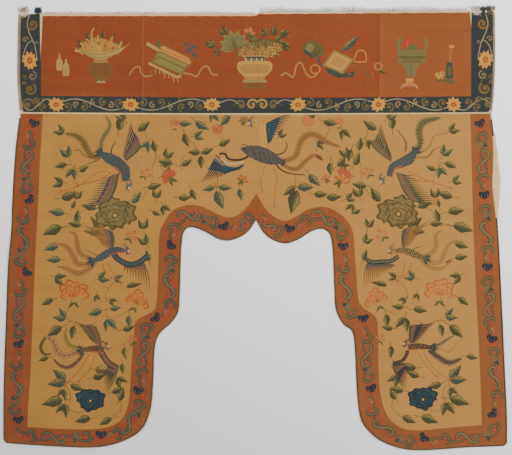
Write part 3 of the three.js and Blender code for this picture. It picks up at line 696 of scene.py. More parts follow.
# A row for each bird: what it is made of, in the order it is laid
BIRDS = {
    "upper_left": dict(
        silks="teal",
        plumes=[
            ("serrated", 18, ("dark_olive", "olive"), [(-320, 146), (-337, 148), (-350, 162),
             (-358, 180), (-374, 192), (-394, 196)]),
            ("thin", 3.4, ("brown",), [(-319, 150), (-342, 146), (-358, 152), (-366, 162),
             (-377, 160)]),
            ("serrated", 12, ("sage", "grey_green"), [(-318, 152), (-321, 174), (-314, 192),
             (-304, 206), (-303, 220), (-312, 234)]),
            ("thin", 3.2, ("dark_brown",), [(-300, 150), (-298, 166), (-290, 180)]),
            ("thin", 3.4, ("olive",), [(-324, 142), (-350, 132), (-372, 122)]),
        ],
        legs=[
            [(-308, 118), (-334, 112), (-366, 88), (-402, 76)],
            [(-300, 116), (-320, 102), (-344, 94), (-368, 89)],
        ],
        wings=[
            ((-269, 140), (-238, 169), (-274, 160), (-260, 225), 9, "night"),
            ((-284, 113), (-303, 58), (-322, 103), (-358, 46), 13, "night"),
        ],
        body=([(-320, 154), (-306, 146), (-288, 136), (-272, 119), (-268, 97)], (9, 22, 24, 24, 13)),
        head=((-262, 84), -0.9, 1),
    ),
    "upper_right": dict(
        silks="slate",
        plumes=[
            ("serrated", 20, ("leaf_dark", "grey_green"), [(-332, 156), (-338, 178), (-334, 198),
             (-342, 216), (-360, 222), (-380, 226)]),
            ("thin", 3.4, ("dark_olive",), [(-306, 156), (-308, 172), (-300, 188), (-290, 200)]),
            ("thin", 3, ("olive",), [(-336, 152), (-356, 166), (-366, 188), (-390, 194)]),
            ("plain", 4.4, ("olive", "brown", "tan"), [(-328, 144), (-352, 144), (-366, 160),
             (-380, 166)]),
        ],
        legs=[
            [(-314, 114), (-352, 96), (-400, 80)],
            [(-300, 110), (-330, 96), (-362, 94)],
        ],
        wings=[
            ((-277, 136), (-238, 167), (-272, 160), (-256, 218), 11, "pine"),
            ((-288, 112), (-316, 56), (-326, 106), (-377, 47), 15, "pine"),
        ],
        body=([(-325, 154), (-314, 140), (-298, 132), (-280, 124), (-273, 104)], (13, 23, 20, 15, 12)),
        head=((-256, 94), -0.7, 1),
    ),
    "middle_left": dict(
        silks="teal",
        plumes=[
            ("plain", 10, ("brown", "clay", "tan"), [(-330, -66), (-352, -60), (-366, -50), (-371, -30),
             (-374, -14), (-388, -8)]),
            ("plain", 11, ("brown", "clay", "tan"), [(-330, -68), (-352, -76), (-370, -74), (-380, -56),
             (-394, -38), (-422, -34)]),
            ("plain", 11, ("brown", "clay", "tan"), [(-330, -72), (-346, -86), (-368, -95), (-390, -86),
             (-412, -80)]),
            ("thin", 2.6, ("brown",), [(-326, -60), (-340, -52), (-352, -46)]),
        ],
        legs=[
            [(-318, -74), (-312, -92), (-300, -104)],
            [(-306, -72), (-296, -96), (-280, -114)],
        ],
        wings=[
            ((-296, -44), (-297, -8), (-322, -30), (-360, 9), 8, "earth"),
            ((-272, -78), (-232, -72), (-274, -92), (-220, -131), 10, "earth"),
        ],
        arm=([(-296, -52), (-284, -66), (-262, -76), (-242, -72), (-226, -60)], 12, "slate",
            "sea_green"),
        body=([(-336, -68), (-322, -62), (-306, -52), (-288, -46), (-272, -46)], (6, 15, 16, 13, 8)),
        head=((-264, -48), -0.1, 1),
    ),
    "middle_right": dict(
        silks="faded_and_lit",
        plumes=[
            ("plain", 10, ("olive", "umber_light", "tan"), [(-336, -62), (-358, -57), (-370, -42),
             (-370, -18), (-384, -8)]),
            ("plain", 10, ("olive", "umber_light", "tan"), [(-336, -66), (-358, -74), (-379, -73),
             (-389, -52), (-398, -36), (-416, -29)]),
            ("plain", 9, ("olive", "umber_light", "tan"), [(-336, -70), (-356, -84), (-380, -88),
             (-402, -74)]),
            ("plain", 6, ("dark_brown", "rose", "tan"), [(-390, -77), (-396, -73), (-404, -72)]),
            ("thin", 2.4, ("leaf",), [(-318, -52), (-330, -44), (-344, -42)]),
        ],
        legs=[
            [(-318, -74), (-316, -92), (-304, -104)],
            [(-306, -72), (-302, -96), (-290, -112)],
        ],
        wings=[
            ((-300, -42), (-302, -7), (-320, -34), (-358, 12), 9, "earth"),
            ((-284, -80), (-227, -76), (-272, -92), (-222, -129), 13, "earth"),
        ],
        arm=([(-292, -62), (-276, -72), (-256, -73), (-236, -74), (-222, -66)], 9, "sea_green", "sage"),
        body=([(-346, -66), (-330, -60), (-314, -53), (-300, -50), (-284, -50)], (6, 14, 15, 13, 7)),
        head=((-274, -50), -0.1, 1),
    ),
    "lower_left": dict(
        silks="brown",
        plumes=[
            ("plain", 9, ("olive", "leaf_light", "gold"), [(-350, -250), (-376, -248), (-390, -240),
             (-396, -222), (-392, -208)]),
            ("eyed", 12, ("mauve", "straw", "pink", "rose"), [(-352, -254), (-376, -260), (-396, -266),
             (-412, -256), (-418, -238), (-434, -228), (-446, -240)]),
            ("serrated", 11, ("dark_brown", "mauve"), [(-356, -260), (-368, -276), (-388, -290),
             (-406, -286), (-420, -272)]),
            ("plain", 7, ("leaf_dark", "leaf", "leaf_light"), [(-436, -228), (-446, -246), (-440, -262),
             (-424, -262)]),
        ],
        legs=[
            [(-344, -262), (-366, -296), (-394, -324)],
            [(-334, -264), (-342, -292), (-366, -318)],
        ],
        wings=[
            ((-320, -246), (-332, -206), (-346, -228), (-376, -194), 10, "reed"),
            ((-308, -290), (-284, -286), (-318, -306), (-314, -348), 11, "pine"),
        ],
        arm=([(-322, -256), (-312, -272), (-304, -282), (-290, -290)], 13, "mauve", "brown"),
        body=([(-358, -254), (-344, -252), (-328, -252), (-314, -254)], (6, 13, 15, 12)),
        head=((-306, -246), 0.2, 1),
    ),
    "lower_right": dict(
        silks="dark",
        plumes=[
            ("plain", 5, ("coral", "tan", "gold"), [(-352, -252), (-380, -254), (-396, -262),
             (-412, -246), (-428, -234)]),
            ("plain", 6, ("slate", "leaf", "leaf_light"), [(-352, -250), (-376, -246), (-392, -236),
             (-408, -226)]),
            ("serrated", 16, ("dark_brown", "mouse"), [(-354, -258), (-378, -274), (-398, -284),
             (-424, -274)]),
        ],
        legs=[
            [(-344, -262), (-366, -296), (-396, -318)],
            [(-334, -264), (-350, -290), (-372, -312)],
        ],
        wings=[
            ((-316, -242), (-317, -207), (-334, -238), (-372, -196), 12, "ink"),
            ((-306, -285), (-281, -291), (-313, -299), (-309, -344), 12, "ink"),
        ],
        arm=([(-312, -258), (-306, -272), (-298, -280), (-282, -284)], 7, "dark_brown", "mauve"),
        body=([(-360, -252), (-344, -250), (-328, -250), (-312, -252)], (6, 12, 14, 11)),
        head=((-304, -244), 0.2, 1),
    ),
    "middle": dict(
        silks="grey",
        plumes=[
            ("serrated", 17, ("brown", "umber"), [(50, 141), (70, 142), (86, 152), (92, 174),
             (106, 192), (126, 194), (146, 180), (178, 168)]),
            ("serrated", 13, ("brown", "umber"), [(50, 136), (72, 124), (90, 124), (108, 142),
             (124, 152), (138, 142)]),
            ("plain", 8, ("soot", "rose", "brown"), [(126, 150), (134, 146), (141, 140)]),
            ("thin", 3.6, ("dark_brown",), [(44, 131), (58, 118), (80, 112), (106, 110)]),
            ("thin", 3.2, ("dark_brown",), [(44, 152), (58, 156), (66, 168), (64, 180)]),
        ],
        legs=[
            [(20, 132), (16, 112), (11, 98), (14, 78)],
            [(38, 126), (46, 104), (42, 84), (40, 48)],
        ],
        wings=[
            ((-58, 122), (-81, 151), (-66, 108), (-118, 90), 9, "dusk"),
            ((27, 176), (24, 216), (36, 183), (80, 235), 10, "sea"),
        ],
        arm=([(-13, 150), (-26, 143), (-42, 141), (-56, 144), (-63, 154), (-75, 154)], 4.6,
            "dark_brown", "soot"),
        body=([(55, 137), (38, 143), (20, 150), (4, 156), (-12, 160), (-30, 165)], (9, 25, 32, 31, 23,
            3)),
        belly="mouse",
        rump=11,
        neck=[(14, 166), (16, 186), (13, 206), (4, 218), (-6, 220)],
        head=((-12, 218), 3.4, -1),
    ),
}


def phoenix(p, name):
    """A long-tailed bird from its row of BIRDS: plumes, legs, wings, arm, rump, body, neck, head."""
    bird = BIRDS[name]
    silks = BIRD_SILKS[bird["silks"]]
    for row in bird["plumes"]:
        plume(p, *row)
    for path in bird["legs"]:
        leg(p, path)
    for row in bird["wings"]:
        wing(p, *row)
    if "arm" in bird:
        path, width, silk, spots = bird["arm"]
        line = spline(path)
        p.line(line, width, "soot")
        p.line(line, 0.64 * width, silk)
        for i, at in enumerate(even(line, 5.0)[1:-1]):
            p.disc(at, 0.22 * width * (1 - 0.3 * (i % 2)), spots, 6)
    body, girth = bird["body"]
    back = math.atan2(body[0][1] - body[1][1], body[0][0] - body[1][0])
    rump(p, body[0], back, bird.get("rump", 19), (silks[0], "soot", "sea_green"))
    if "neck" in bird:
        line = spline(bird["neck"])
        width = np.linspace(17, 8, len(line))
        p.line(line, width, "gold_pale")
        for off in (-0.26, 0.0, 0.26):
            p.line(line + width[:, None] * off * sideways(line), 1.0, "sage" if off else "olive")
    scaled_body(p, body, girth, silks)
    belly = spline(body[-3:])
    p.line(belly - 0.4 * girth[-2] * sideways(belly), 2.2, bird.get("belly", "coral"))
    at, turn, up = bird["head"]
    rump(p, at, turn + np.pi, 13, ("slate", "sky", "tan"), 7, 2.2)
    bird_head(p, at, turn, up, silks)


# Leaf sprays of the left half as (x, y, turn in degrees, reach, leaves), and a kind if not green
SPRAYS = [
    (-398, 198, 150, 26, 2), (-388, 148, 115, 32, 2, "grey"), (-392, 132, 185, 26, 1),
    (-378, 122, 250, 30, 2, "grey"), (-366, 118, 20, 20, 1), (-400, 94, 175, 26, 2, "olive"),
    (-404, 62, 10, 34, 1, "olive"), (-372, 60, 80, 24, 2), (-382, 40, 60, 18, 1),
    (-396, 30, 165, 34, 1, "teal"), (-402, 2, 195, 40, 1), (-372, 10, 75, 26, 1),
    (-330, 40, 160, 30, 1), (-258, 52, 40, 32, 1, "teal"), (-284, 202, 75, 32, 1),
    (-272, 224, 130, 24, 2), (-244, 202, 30, 30, 1), (-222, 178, 240, 26, 2, "teal"),
    (-208, 158, 95, 26, 1), (-186, 146, 60, 24, 2), (-178, 128, 200, 22, 2, "brown"),
    (-196, 106, 20, 22, 1, "brown"), (-224, 84, 5, 28, 1), (-206, 62, 85, 26, 2),
    (-192, 46, 300, 24, 2), (-214, 34, 330, 20, 1), (-318, -6, 155, 44, 2, "brown"),
    (-362, 4, 160, 26, 1), (-408, -36, 190, 30, 1, "teal"), (-404, -66, 175, 28, 1, "teal"),
    (-416, -102, 340, 30, 2), (-326, -106, 20, 28, 2, "grey"), (-292, -104, 350, 24, 2, "teal"),
    (-420, -148, 200, 26, 1), (-330, -140, 280, 18, 2), (-302, -150, 330, 20, 2),
    (-318, -172, 190, 28, 1, "teal"), (-302, -168, 0, 24, 1, "teal"), (-394, -188, 150, 32, 2, "grey"),
    (-402, -206, 205, 34, 1), (-306, -190, 285, 34, 2, "teal"), (-262, -182, 265, 26, 1, "teal"),
    (-276, -212, 10, 24, 1), (-376, -204, 250, 26, 1), (-232, -2, 95, 26, 2), (-226, -34, 120, 26, 2),
    (-220, -70, 100, 24, 1), (-430, -270, 190, 22, 1), (-394, -318, 165, 46, 2, "grey"),
    (-398, -336, 250, 26, 2), (-384, -326, 330, 30, 1), (-334, -294, 350, 34, 1, "brown"),
    (-338, -312, 10, 30, 1, "olive"), (-286, -312, 310, 28, 2), (-298, -342, 15, 26, 1, "olive"),
    (-284, -360, 60, 26, 1), (-400, -358, 185, 42, 1), (-396, -366, 250, 34, 2),
    (-342, -396, 185, 34, 1, "olive"), (-298, -396, 200, 30, 1), (-276, -282, 265, 20, 1),
    (-272, -248, 270, 24, 1, "brown"),
]
# Leaf sprays round the middle bird, on both halves
MIDDLE_SPRAYS = [
    (-158, 218, 350, 26, 1, "grey"), (-124, 222, 320, 34, 1, "teal"), (-126, 190, 10, 26, 2, "grey"),
    (-148, 196, 280, 26, 1, "olive"), (-88, 238, 280, 24, 2, "grey"), (-52, 234, 220, 28, 1, "grey"),
    (-76, 172, 18, 28, 1), (-114, 156, 170, 26, 1), (-112, 156, 12, 26, 1),
    (-112, 150, 262, 26, 1, "olive"), (-172, 134, 165, 30, 1), (-154, 130, 20, 24, 1),
    (-84, 84, 185, 26, 1, "grey"), (-76, 86, 345, 28, 1, "grey"), (-80, 78, 282, 42, 1, "grey"),
    (-134, 80, 290, 24, 1, "olive"), (-160, 63, 355, 28, 1), (-32, 82, 272, 26, 1, "grey"),
    (84, 84, 205, 28, 1), (88, 86, 350, 32, 1, "grey"), (88, 78, 247, 48, 1),
    (112, 112, 305, 32, 1, "grey"), (122, 71, 350, 26, 1), (148, 64, 354, 32, 1, "olive"),
    (156, 136, 265, 26, 1), (170, 128, 40, 26, 1), (130, 180, 330, 26, 2), (142, 222, 340, 30, 1),
    (126, 236, 200, 24, 1), (182, 204, 290, 28, 2), (200, 164, 250, 26, 1, "olive"),
    (206, 130, 60, 26, 1), (190, 60, 20, 26, 2), (50, 190, 40, 22, 2, "olive"),
]

# Stems of the left half, as smooth lines
STEMS = [
    [(-404, 120), (-388, 132), (-372, 120)],
    [(-352, 10), (-372, 4), (-404, 0), (-420, -12)],
    [(-380, 16), (-356, 36), (-334, 52), (-318, 60)],
    [(-236, 60), (-216, 92), (-214, 128), (-204, 150), (-222, 176), (-230, 206)],
    [(-186, 108), (-196, 128), (-200, 152)],
    [(-392, -196), (-372, -196), (-352, -204), (-330, -196)],
    [(-380, -148), (-390, -172), (-396, -188)],
    [(-300, -160), (-312, -144), (-300, -120), (-286, -110)],
    [(-242, -162), (-258, -170), (-276, -178), (-290, -186)],
    [(-392, -328), (-384, -352), (-392, -376), (-404, -384)],
    [(-344, -378), (-372, -384), (-392, -372)],
    [(-300, -340), (-286, -352), (-278, -376), (-296, -392)],
    [(-120, 148), (-124, 170), (-140, 186), (-150, 206)],
    [(-78, 108), (-78, 88), (-70, 70)],
    [(-152, 118), (-156, 134), (-148, 150)],
]


def field_ornament(p, right):
    """One half of the lower panel's field: stems, leaf sprays, flowers and three birds."""
    p.flip = right
    p.moved = (6.0, 3.0) if right else (0.0, 0.0)
    kinds = {"teal": "green", "brown": "olive", "olive": "green"} if right else {}
    for path in STEMS:
        p.line(spline(path, 4), 1.5, "olive")
    for i, (x, y, turn, reach, count, *kind) in enumerate(SPRAYS):
        wander = 5 * math.sin(7.3 * i) if right else 0.0
        kind = [kinds.get(k, k) for k in kind]
        spray(p, x + wander, y, turn + 2 * wander, reach, count, *kind)
    blossom(p, (-292, 30), 40, ("dark_olive", "peony_green", "peony_light"), (9, 7, 5), 0.3, 0.82)
    peony(p, (-378, -138), 56, 1.6, ("coral", "apricot", "coral"), 0.4)
    peony(p, (-247, -154), 44, 1.2, ("coral", "apricot", "brown"), 1.9)
    leaf(p, (-268, -124), 0.5, 34, 12, -0.3, "olive")
    blossom(p, (-343, -357), 28, ("indigo", "deep_teal", "slate"), (7, 5, 3), 0.2, 0.85)
    half_daisy(p, (-176, 102), 21, 2.3, ("coral", "rose", "tan"))
    sprig(p, (-232, 106), 1.1, 1.0)
    sprig(p, (-262, -24), 1.0, 1.1)
    sprig(p, (-254, -240), 1.9, 0.9)
    peony(p, (-166, 214), 24, 1.4, ("coral", "blush", "clay"), 0.7)
    side = "right" if right else "left"
    for level in ("upper", "middle", "lower"):
        phoenix(p, f"{level}_{side}")
    p.upright()


def middle_ornament(p):
    """The middle bird with the sprays and small flowers round it."""
    for path in STEMS[-3:]:
        p.line(spline(path, 4), 1.3, "olive")
    for row in MIDDLE_SPRAYS:
        spray(p, *row)
    blossom(p, (-78, 205), 11, ("coral", "clay", "leaf"), (5, 3), 0.4)
    half_daisy(p, (-24, 220), 13, 1.4, ("brown", "clay", "leaf"), 7)
    blossom(p, (110, 222), 12, ("coral", "blush", "clay"), (5, 3), 0.6)
    half_daisy(p, (-28, 98), 15, 1.2, ("coral", "apricot", "leaf"), 7)
    half_daisy(p, (176, 96), 20, 0.9, ("apricot", "coral", "tan"), 8)
    half_daisy(p, (148, 100), 13, 2.2, ("coral", "pink", "tan"), 6)
    phoenix(p, "middle")
    lens = [(-66, 131), (-50, 127), (-36, 127), (-22, 134), (-30, 123), (-45, 118), (-66, 113)]
    p.area(spline([*lens, lens[0]], 4), "deep_teal")
    p.line(spline([(-64, 116), (-44, 121), (-24, 133)], 4), 1.6, "soot")
    p.line(spline([(-72, 145), (-60, 136), (-44, 133), (-24, 138)], 4), 3.6, "pale")
    p.line(spline([(-66, 133), (-50, 130), (-36, 130), (-22, 135)], 4), 2.6, "apricot")


# Border of bats and scrolls

KNOT_SIZE = 1.12


def bat(p, at, turn):
    """A small bat seen from above: scalloped wings with a green spot each, to both sides of an
    oval body with a round head and a rose heart."""
    size = 0.98
    rim = [(0, 3.4), (5, 8.4), (10.5, 9.2), (15, 4.6), (12.4, 2.8), (11, -1.2), (7.6, 0.6),
           (5.2, -4.4), (3, -1.4), (0, -5)]
    arm = [(1.5, 2), (6, 5.4), (11, 6.2)]
    for side in (1, -1):
        spread = np.array([0.84 * side, 1.3])
        p.area(placed(rim * spread, at, turn, size), "indigo")
        p.line(placed(arm * spread, at, turn, size), 1.0, "slate")
        p.disc(spot(6.2 * side, 2.2, at, turn, size), 1.1, "leaf_light", 6)
    p.disc(at, 3.6 * size, "blue", 8, 1.7, turn)
    p.disc(spot(0, 7.6, at, turn, size), 2.8 * size, "indigo", 7)
    p.disc(spot(0, -0.6, at, turn, size), 1.2 * size, "rose", 6)


def bud(p, at, turn):
    """A rose bud held by two hooked shoots."""
    p.disc(at, 4.6, "rose", 9, 0.85, turn)
    p.disc(spot(1.2, 0.8, at, turn), 2.2, "pink", 7)
    shoot = curl(spot(-7, 5, at, turn), turn - 0.9, 20, 2.3, 10)
    p.line(shoot, (2.8, 1.6), "leaf")
    shoot = curl(spot(-7, -4, at, turn), turn + 0.5, 15, -1.4, 8)
    p.line(shoot, (2.4, 1.4), "scroll_light")


def cloud_head(p, at, turn, silk):
    """A C scroll whose two ends curl inwards, with a rose bead in its cup."""
    size = KNOT_SIZE
    path = placed(double_curl(20 * size, 3.9, True), at, turn)
    taper = 6.4 * size * (1 - 0.45 * np.abs(np.linspace(-1, 1, len(path))) ** 2)
    p.line(path, taper, "scroll_dark")
    p.line(path, 0.6 * taper, silk)
    p.disc(spot(0, 1.5 * size, at, turn), 2.4 * size, "rose", 7)


def leafy_knot(p, at, turn, silk):
    """Four blunt leaves about a small rose."""
    size = KNOT_SIZE
    for i, (way, leaf_silk) in enumerate(((0.5, silk), (2.5, "teal"), (3.9, "scroll"), (5.4, silk))):
        t = np.linspace(0, 1, 6)
        half = 3.9 * size * np.sin(np.pi * t**0.7)[:, None] * [0, 1]
        spine = np.column_stack([(11 + (i % 2) * 2) * size * t, 0 * t])
        p.area(placed(blade(spine, half), at, turn + way), leaf_silk)
    p.disc(at, 2.6 * size, "rose", 7)


def border_scroll(p, at, turn, length, mirror, silk):
    """An S scroll with a spiral at each end and two hooked shoots at its waist."""
    path = placed(double_curl(length, 5.2, False) * [1, mirror], at, turn)
    taper = 6.4 - 3.0 * np.abs(np.linspace(-1, 1, len(path))) ** 1.5
    p.line(path, taper + 2.2, "scroll_dark")
    p.line(path, taper, silk)
    p.line(path, 0.26 * taper, "scroll_light")
    for end in (path[2], path[-3]):
        p.disc(end, 3.0, "rose", 7)
    middle = len(path) // 2
    way = math.atan2(*(path[middle + 2] - path[middle - 2])[::-1])
    for side, reach in ((1, 13), (-1, 11)):
        hook = curl(path[middle + 3 * side], way + side * 1.25, reach, side * 2.4, 9)
        p.line(hook, (3.6, 1.4), "leaf" if side > 0 else "rose")


def border_ornament(p, line_rows, bats, extra_turn, silk):
    """Bats at their places on the border's middle line, over a red ribbon. Each run between two
    of them is a waving stem with a bud, a cloud head, an S scroll, a leafy knot and a second
    cloud head. A short run has the bud, the scroll and one cloud head."""
    line = even(spline(line_rows, 6), 2.0)
    normal = sideways(line)
    way = np.unwrap(np.arctan2(*np.gradient(line, axis=0).T[::-1]))
    p.line(line[::4], 20.0, "brick_red")
    stops = [int(np.argmin(np.linalg.norm(line - b, axis=1))) for b in bats]
    ends = [0, *stops, len(line) - 1]
    for k in range(len(ends) - 1):
        start, stop = ends[k] + 5, ends[k + 1] - 5
        if stop - start < 12:
            continue
        wave = 5.5 * np.sin(2 * np.pi * np.linspace(0, 2, stop - start))[:, None]
        stem = (line[start:stop] + wave * normal[start:stop])[::2]
        p.line(stem, 5.2, "scroll_dark")
        p.line(stem, 3.0, silk)
        run = [(0.1, bud), (0.24, cloud_head), (0.5, border_scroll), (0.77, leafy_knot),
               (0.9, cloud_head)]
        if stop - start < 45:
            run = [(0.2, bud), (0.52, border_scroll), (0.86, cloud_head)]
        side = 1 if k % 2 else -1
        for share, draw in run:
            i = int(start + share * (stop - start))
            if draw is bud:
                bud(p, line[i] - 3 * side * normal[i], way[i])
            elif draw is border_scroll:
                border_scroll(p, line[i], way[i], min(46.0, 0.84 * (stop - start)), side, silk)
            else:
                draw(p, line[i] + 2.4 * side * normal[i], way[i] + np.pi / 2 + 0.3 * side, silk)
    for i, at in enumerate(bats):
        bat(p, at, extra_turn * math.sin(2.1 * i) + (0.4 if i % 2 else -0.3))


# Heading: side and lower bands, and the antiques on its ground

BAND_FLOWERS = [-414, -259, -90, 89, 256, 413]
BAND_Y = 256.5
# Coils of the vine between two flowers, as (share of the way, height, turns, radius, silk)
BAND_COILS = [
    (0.15, -0.35, 1.2, 9.5, "sage"), (0.27, 0.1, -1.1, 7, "vine"), (0.37, -0.45, -1.2, 9, "sage"),
    (0.5, 0.5, 0.9, 6, "vine"), (0.63, 0.45, 1.2, 9, "sage"), (0.73, -0.1, -1.1, 7, "vine"),
    (0.85, 0.35, -1.2, 9.5, "sage"),
]


def coil(p, at, radius, start, turns, silk="vine", width=2.6):
    """A coiled tendril: its radius shrinks evenly from radius to a fifth of it while it goes
    turns times round, under a brown bead and a darker line along its middle."""
    t = np.linspace(0, 1, 26)
    angle = start + 2 * np.pi * turns * t
    path = np.array(at) + (radius * (1 - 0.8 * t) * [np.cos(angle), np.sin(angle)]).T
    p.disc(at, 0.3 * radius, "brown", 8)
    p.line(path, (width, 0.7 * width), silk)
    p.line(path, 0.8, "dark_olive")
    tip = path[0] + 0.2 * radius * ray(start)
    leaf(p, tip, start + (0.9 if turns < 0 else -0.9), 0.6 * radius, 0.36 * radius, 0.2, "olive")


def band_vine(p):
    """The band under the heading: a vine that waves once between two flowers, with small leaves
    near its middle line and coils in its bends, and two pairs of facing coils in the middle."""
    stops = [-486, *BAND_FLOWERS, 492]
    for k, (a, b) in enumerate(zip(stops, stops[1:])):
        if a < 0 < b:
            middle = [(a, -6), (a + 22, 6), (a + 40, 10), (a + 56, 2)]
            for side in (1, -1):
                p.line([(4.5 + side * (x - 4.5), BAND_Y + y) for x, y in spline(middle)], 1.9, "vine")
            continue
        t = np.linspace(0, 1, 40)
        up = 1 if k % 2 else -1
        whole = np.column_stack([a + t * (b - a), BAND_Y + up * 11.5 * np.sin(2 * np.pi * t)])
        for i, (x, y) in enumerate(whole[3::5]):
            if abs(y - BAND_Y) < 8:
                leaf(p, (x, y), 1.1 + np.pi * (i % 2) * (y > BAND_Y), 10, 4.4, 0.3, "brown")
        p.line(whole, 2.0, "vine")
        for share, high, turns, reach, silk in BAND_COILS:
            if b - a < 100 and share not in (0.37, 0.63):
                continue
            at = (a + share * (b - a), BAND_Y + 11 * high * up)
            coil(p, at, reach, (1.6 if high * turns > 0 else -1.6) * up, up * turns, silk)
    for i, at in enumerate(BAND_FLOWERS):
        star_flower(p, (at, BAND_Y), 17.5, 0.2 * i, 0.88)
    for side in (1, -1):
        coil(p, (4.5 + 11 * side, BAND_Y), 11.5, np.pi / 2 + 1.2 * side, -1.2 * side, "straw", 4.2)
        coil(p, (4.5 + 34 * side, BAND_Y - 1), 10.5, np.pi / 2 - 1.4 * side, 1.1 * side, "sage", 3.6)


def side_band(p):
    """The left side band: a rising vine with curls, a tall flower and a scroll at the corner."""
    stem = spline([(-468, 447), (-474, 426), (-471, 408), (-462, 388), (-457, 372), (-454, 350)])
    p.line(stem, 2.0, "vine")
    p.line(spline([(-463, 390), (-474, 382), (-481, 364), (-484, 346)], 4), 1.8, "vine")
    coil(p, (-463, 423), 11.0, 3.6, 1.2, "olive", 4.8)
    coil(p, (-478, 391), 6.5, 0.2, 1.1, "vine", 2.2)
    coil(p, (-454, 384), 4.5, 3.4, -0.9, "vine", 1.8)
    star_flower(p, (-469, 348), 16, 0.1, 1.3)
    for row in (
        ((-464, 316), 9.5, 1.4, -1.2, "vine", 2.4), ((-481, 314), 5.5, 4.9, 0.9, "sage", 1.8),
        ((-468, 288), 12.5, 1.0, -1.3, "olive", 4.4), ((-482, 300), 5.0, 5.9, 0.8, "vine", 1.8),
        ((-474, 257), 12.0, 0.6, 1.2, "sage", 3.8), ((-454, 264), 7.0, 2.6, -1.1, "sage", 2.2),
    ):
        coil(p, *row)


def vessel(p, x, rows, silk):
    """A vessel's side view: its profile rows are (height, half width) about an upright line."""
    rows = np.array(rows, float)
    left = np.column_stack([x - rows[:, 1], rows[:, 0]])
    right = np.column_stack([x + rows[:, 1], rows[:, 0]])
    p.area(np.vstack([left, right[::-1]]), silk)


def edged(p, path, width, silk, edge, rim=1.1):
    """A ribbon with a darker rim on both sides."""
    p.line(path, np.asarray(width) + 2 * rim, edge)
    p.line(path, width, silk)


def small_bottles(p):
    """The pair of small bottles at the left end."""
    vessel(p, -407, [(362, 1.3), (353, 2.2), (348, 6.2), (333, 7), (327, 5)], "straw")
    vessel(p, -393.5, [(351, 1.3), (344, 2.2), (338, 6), (322, 7), (316, 5.5)], "straw")
    for x, y in ((-407, 340), (-393.5, 330)):
        p.line([(x - 5, y + 3), (x, y), (x + 5, y + 3)], 1.1, "tan")
        p.line([(x, y + 10), (x, y - 9)], 1.0, "tan")


def dish_of_fruit(p):
    """A shallow dish heaped with finger citron and leaves, on a dull vase with a small foot. The
    fruit is three fans of short curled fingers, the longer ones behind, leaning out to both sides."""
    for at, turn in (((-352, 374), 2.7), ((-356, 380), 2.3), ((-290, 378), 0.4), ((-304, 388), 0.8),
                     ((-344, 388), 1.9), ((-318, 392), 1.3)):
        leaf(p, at, turn, 21, 10, 0.15, "olive")
    silks = ("straw", "gold", "tan", "apricot")
    p.area([(-366, 372), (-348, 388), (-338, 396), (-316, 394), (-298, 386), (-276, 378), (-310, 358),
            (-340, 358)], "tan")
    for layer, (count, reach, y) in enumerate(((11, 36, 364), (9, 27, 364), (7, 18, 362))):
        for i in range(count):
            t = 2 * i / (count - 1) - 1
            root = (-323 + 34 * t, y + 3 * (1 - t * t))
            turn = 1.6 - 0.9 * t + 0.25 * math.sin(4 * i + layer)
            length = reach * (0.84 + 0.2 * math.sin(3 * i + 2 * layer) - 0.3 * t * t)
            finger = curl(root, turn, length, 0.9 * math.sin(2.2 * i + layer + 1), 7)
            edged(p, finger, np.linspace(6.4, 3.0, 7), silks[(i + layer) % 4], "olive", 0.7)
    edged(p, curl((-336, 380), 1.9, 38, -1.1, 9), np.linspace(5, 2, 9), "gold", "olive", 0.7)
    for x, y in ((-340, 376), (-312, 378), (-296, 374), (-326, 384)):
        p.disc((x, y), 3.4, "coral" if x > -330 else "apricot", 8)
        p.disc((x, y), 1.4, "dark_olive", 6)
    bowl = [(-379, 376), (-352, 367), (-322, 364), (-292, 368), (-260, 384), (-284, 363)]
    p.area(bowl + [(-302, 355), (-312, 351), (-332, 351), (-344, 356)], "straw")
    p.line(spline([(-376, 375), (-344, 363), (-312, 362), (-266, 380)]), 1.3, "olive")
    p.line(spline([(-362, 367), (-336, 356), (-310, 355), (-282, 364)]), 1.3, "olive")
    for x in (-352, -334, -314, -296):
        p.line([(x - 3, 366), (x + 3, 358)], 1.0, "tan")
    vessel(p, -321, [(351, 12), (347, 16), (344, 14)], "tan")
    p.line([(-335, 348), (-307, 348)], 1.1, "olive")
    vessel(p, -321, [(344, 15), (340, 22), (331, 26), (319, 22), (309, 13)], "vase_line")
    vessel(p, -321, [(342, 13), (338, 19), (331, 23), (320, 19), (311, 12)], "vase")
    for x in (-334, -321, -308):
        p.line([(x, 340), (x - 0.25 * (x + 321), 312)], 1.1, "vase_line")
    vessel(p, -321, [(309, 9), (305, 12), (301, 9)], "vase_line")
    p.line([(-329, 302), (-325, 305), (-321, 302), (-317, 305), (-313, 302)], 1.8, "pale")


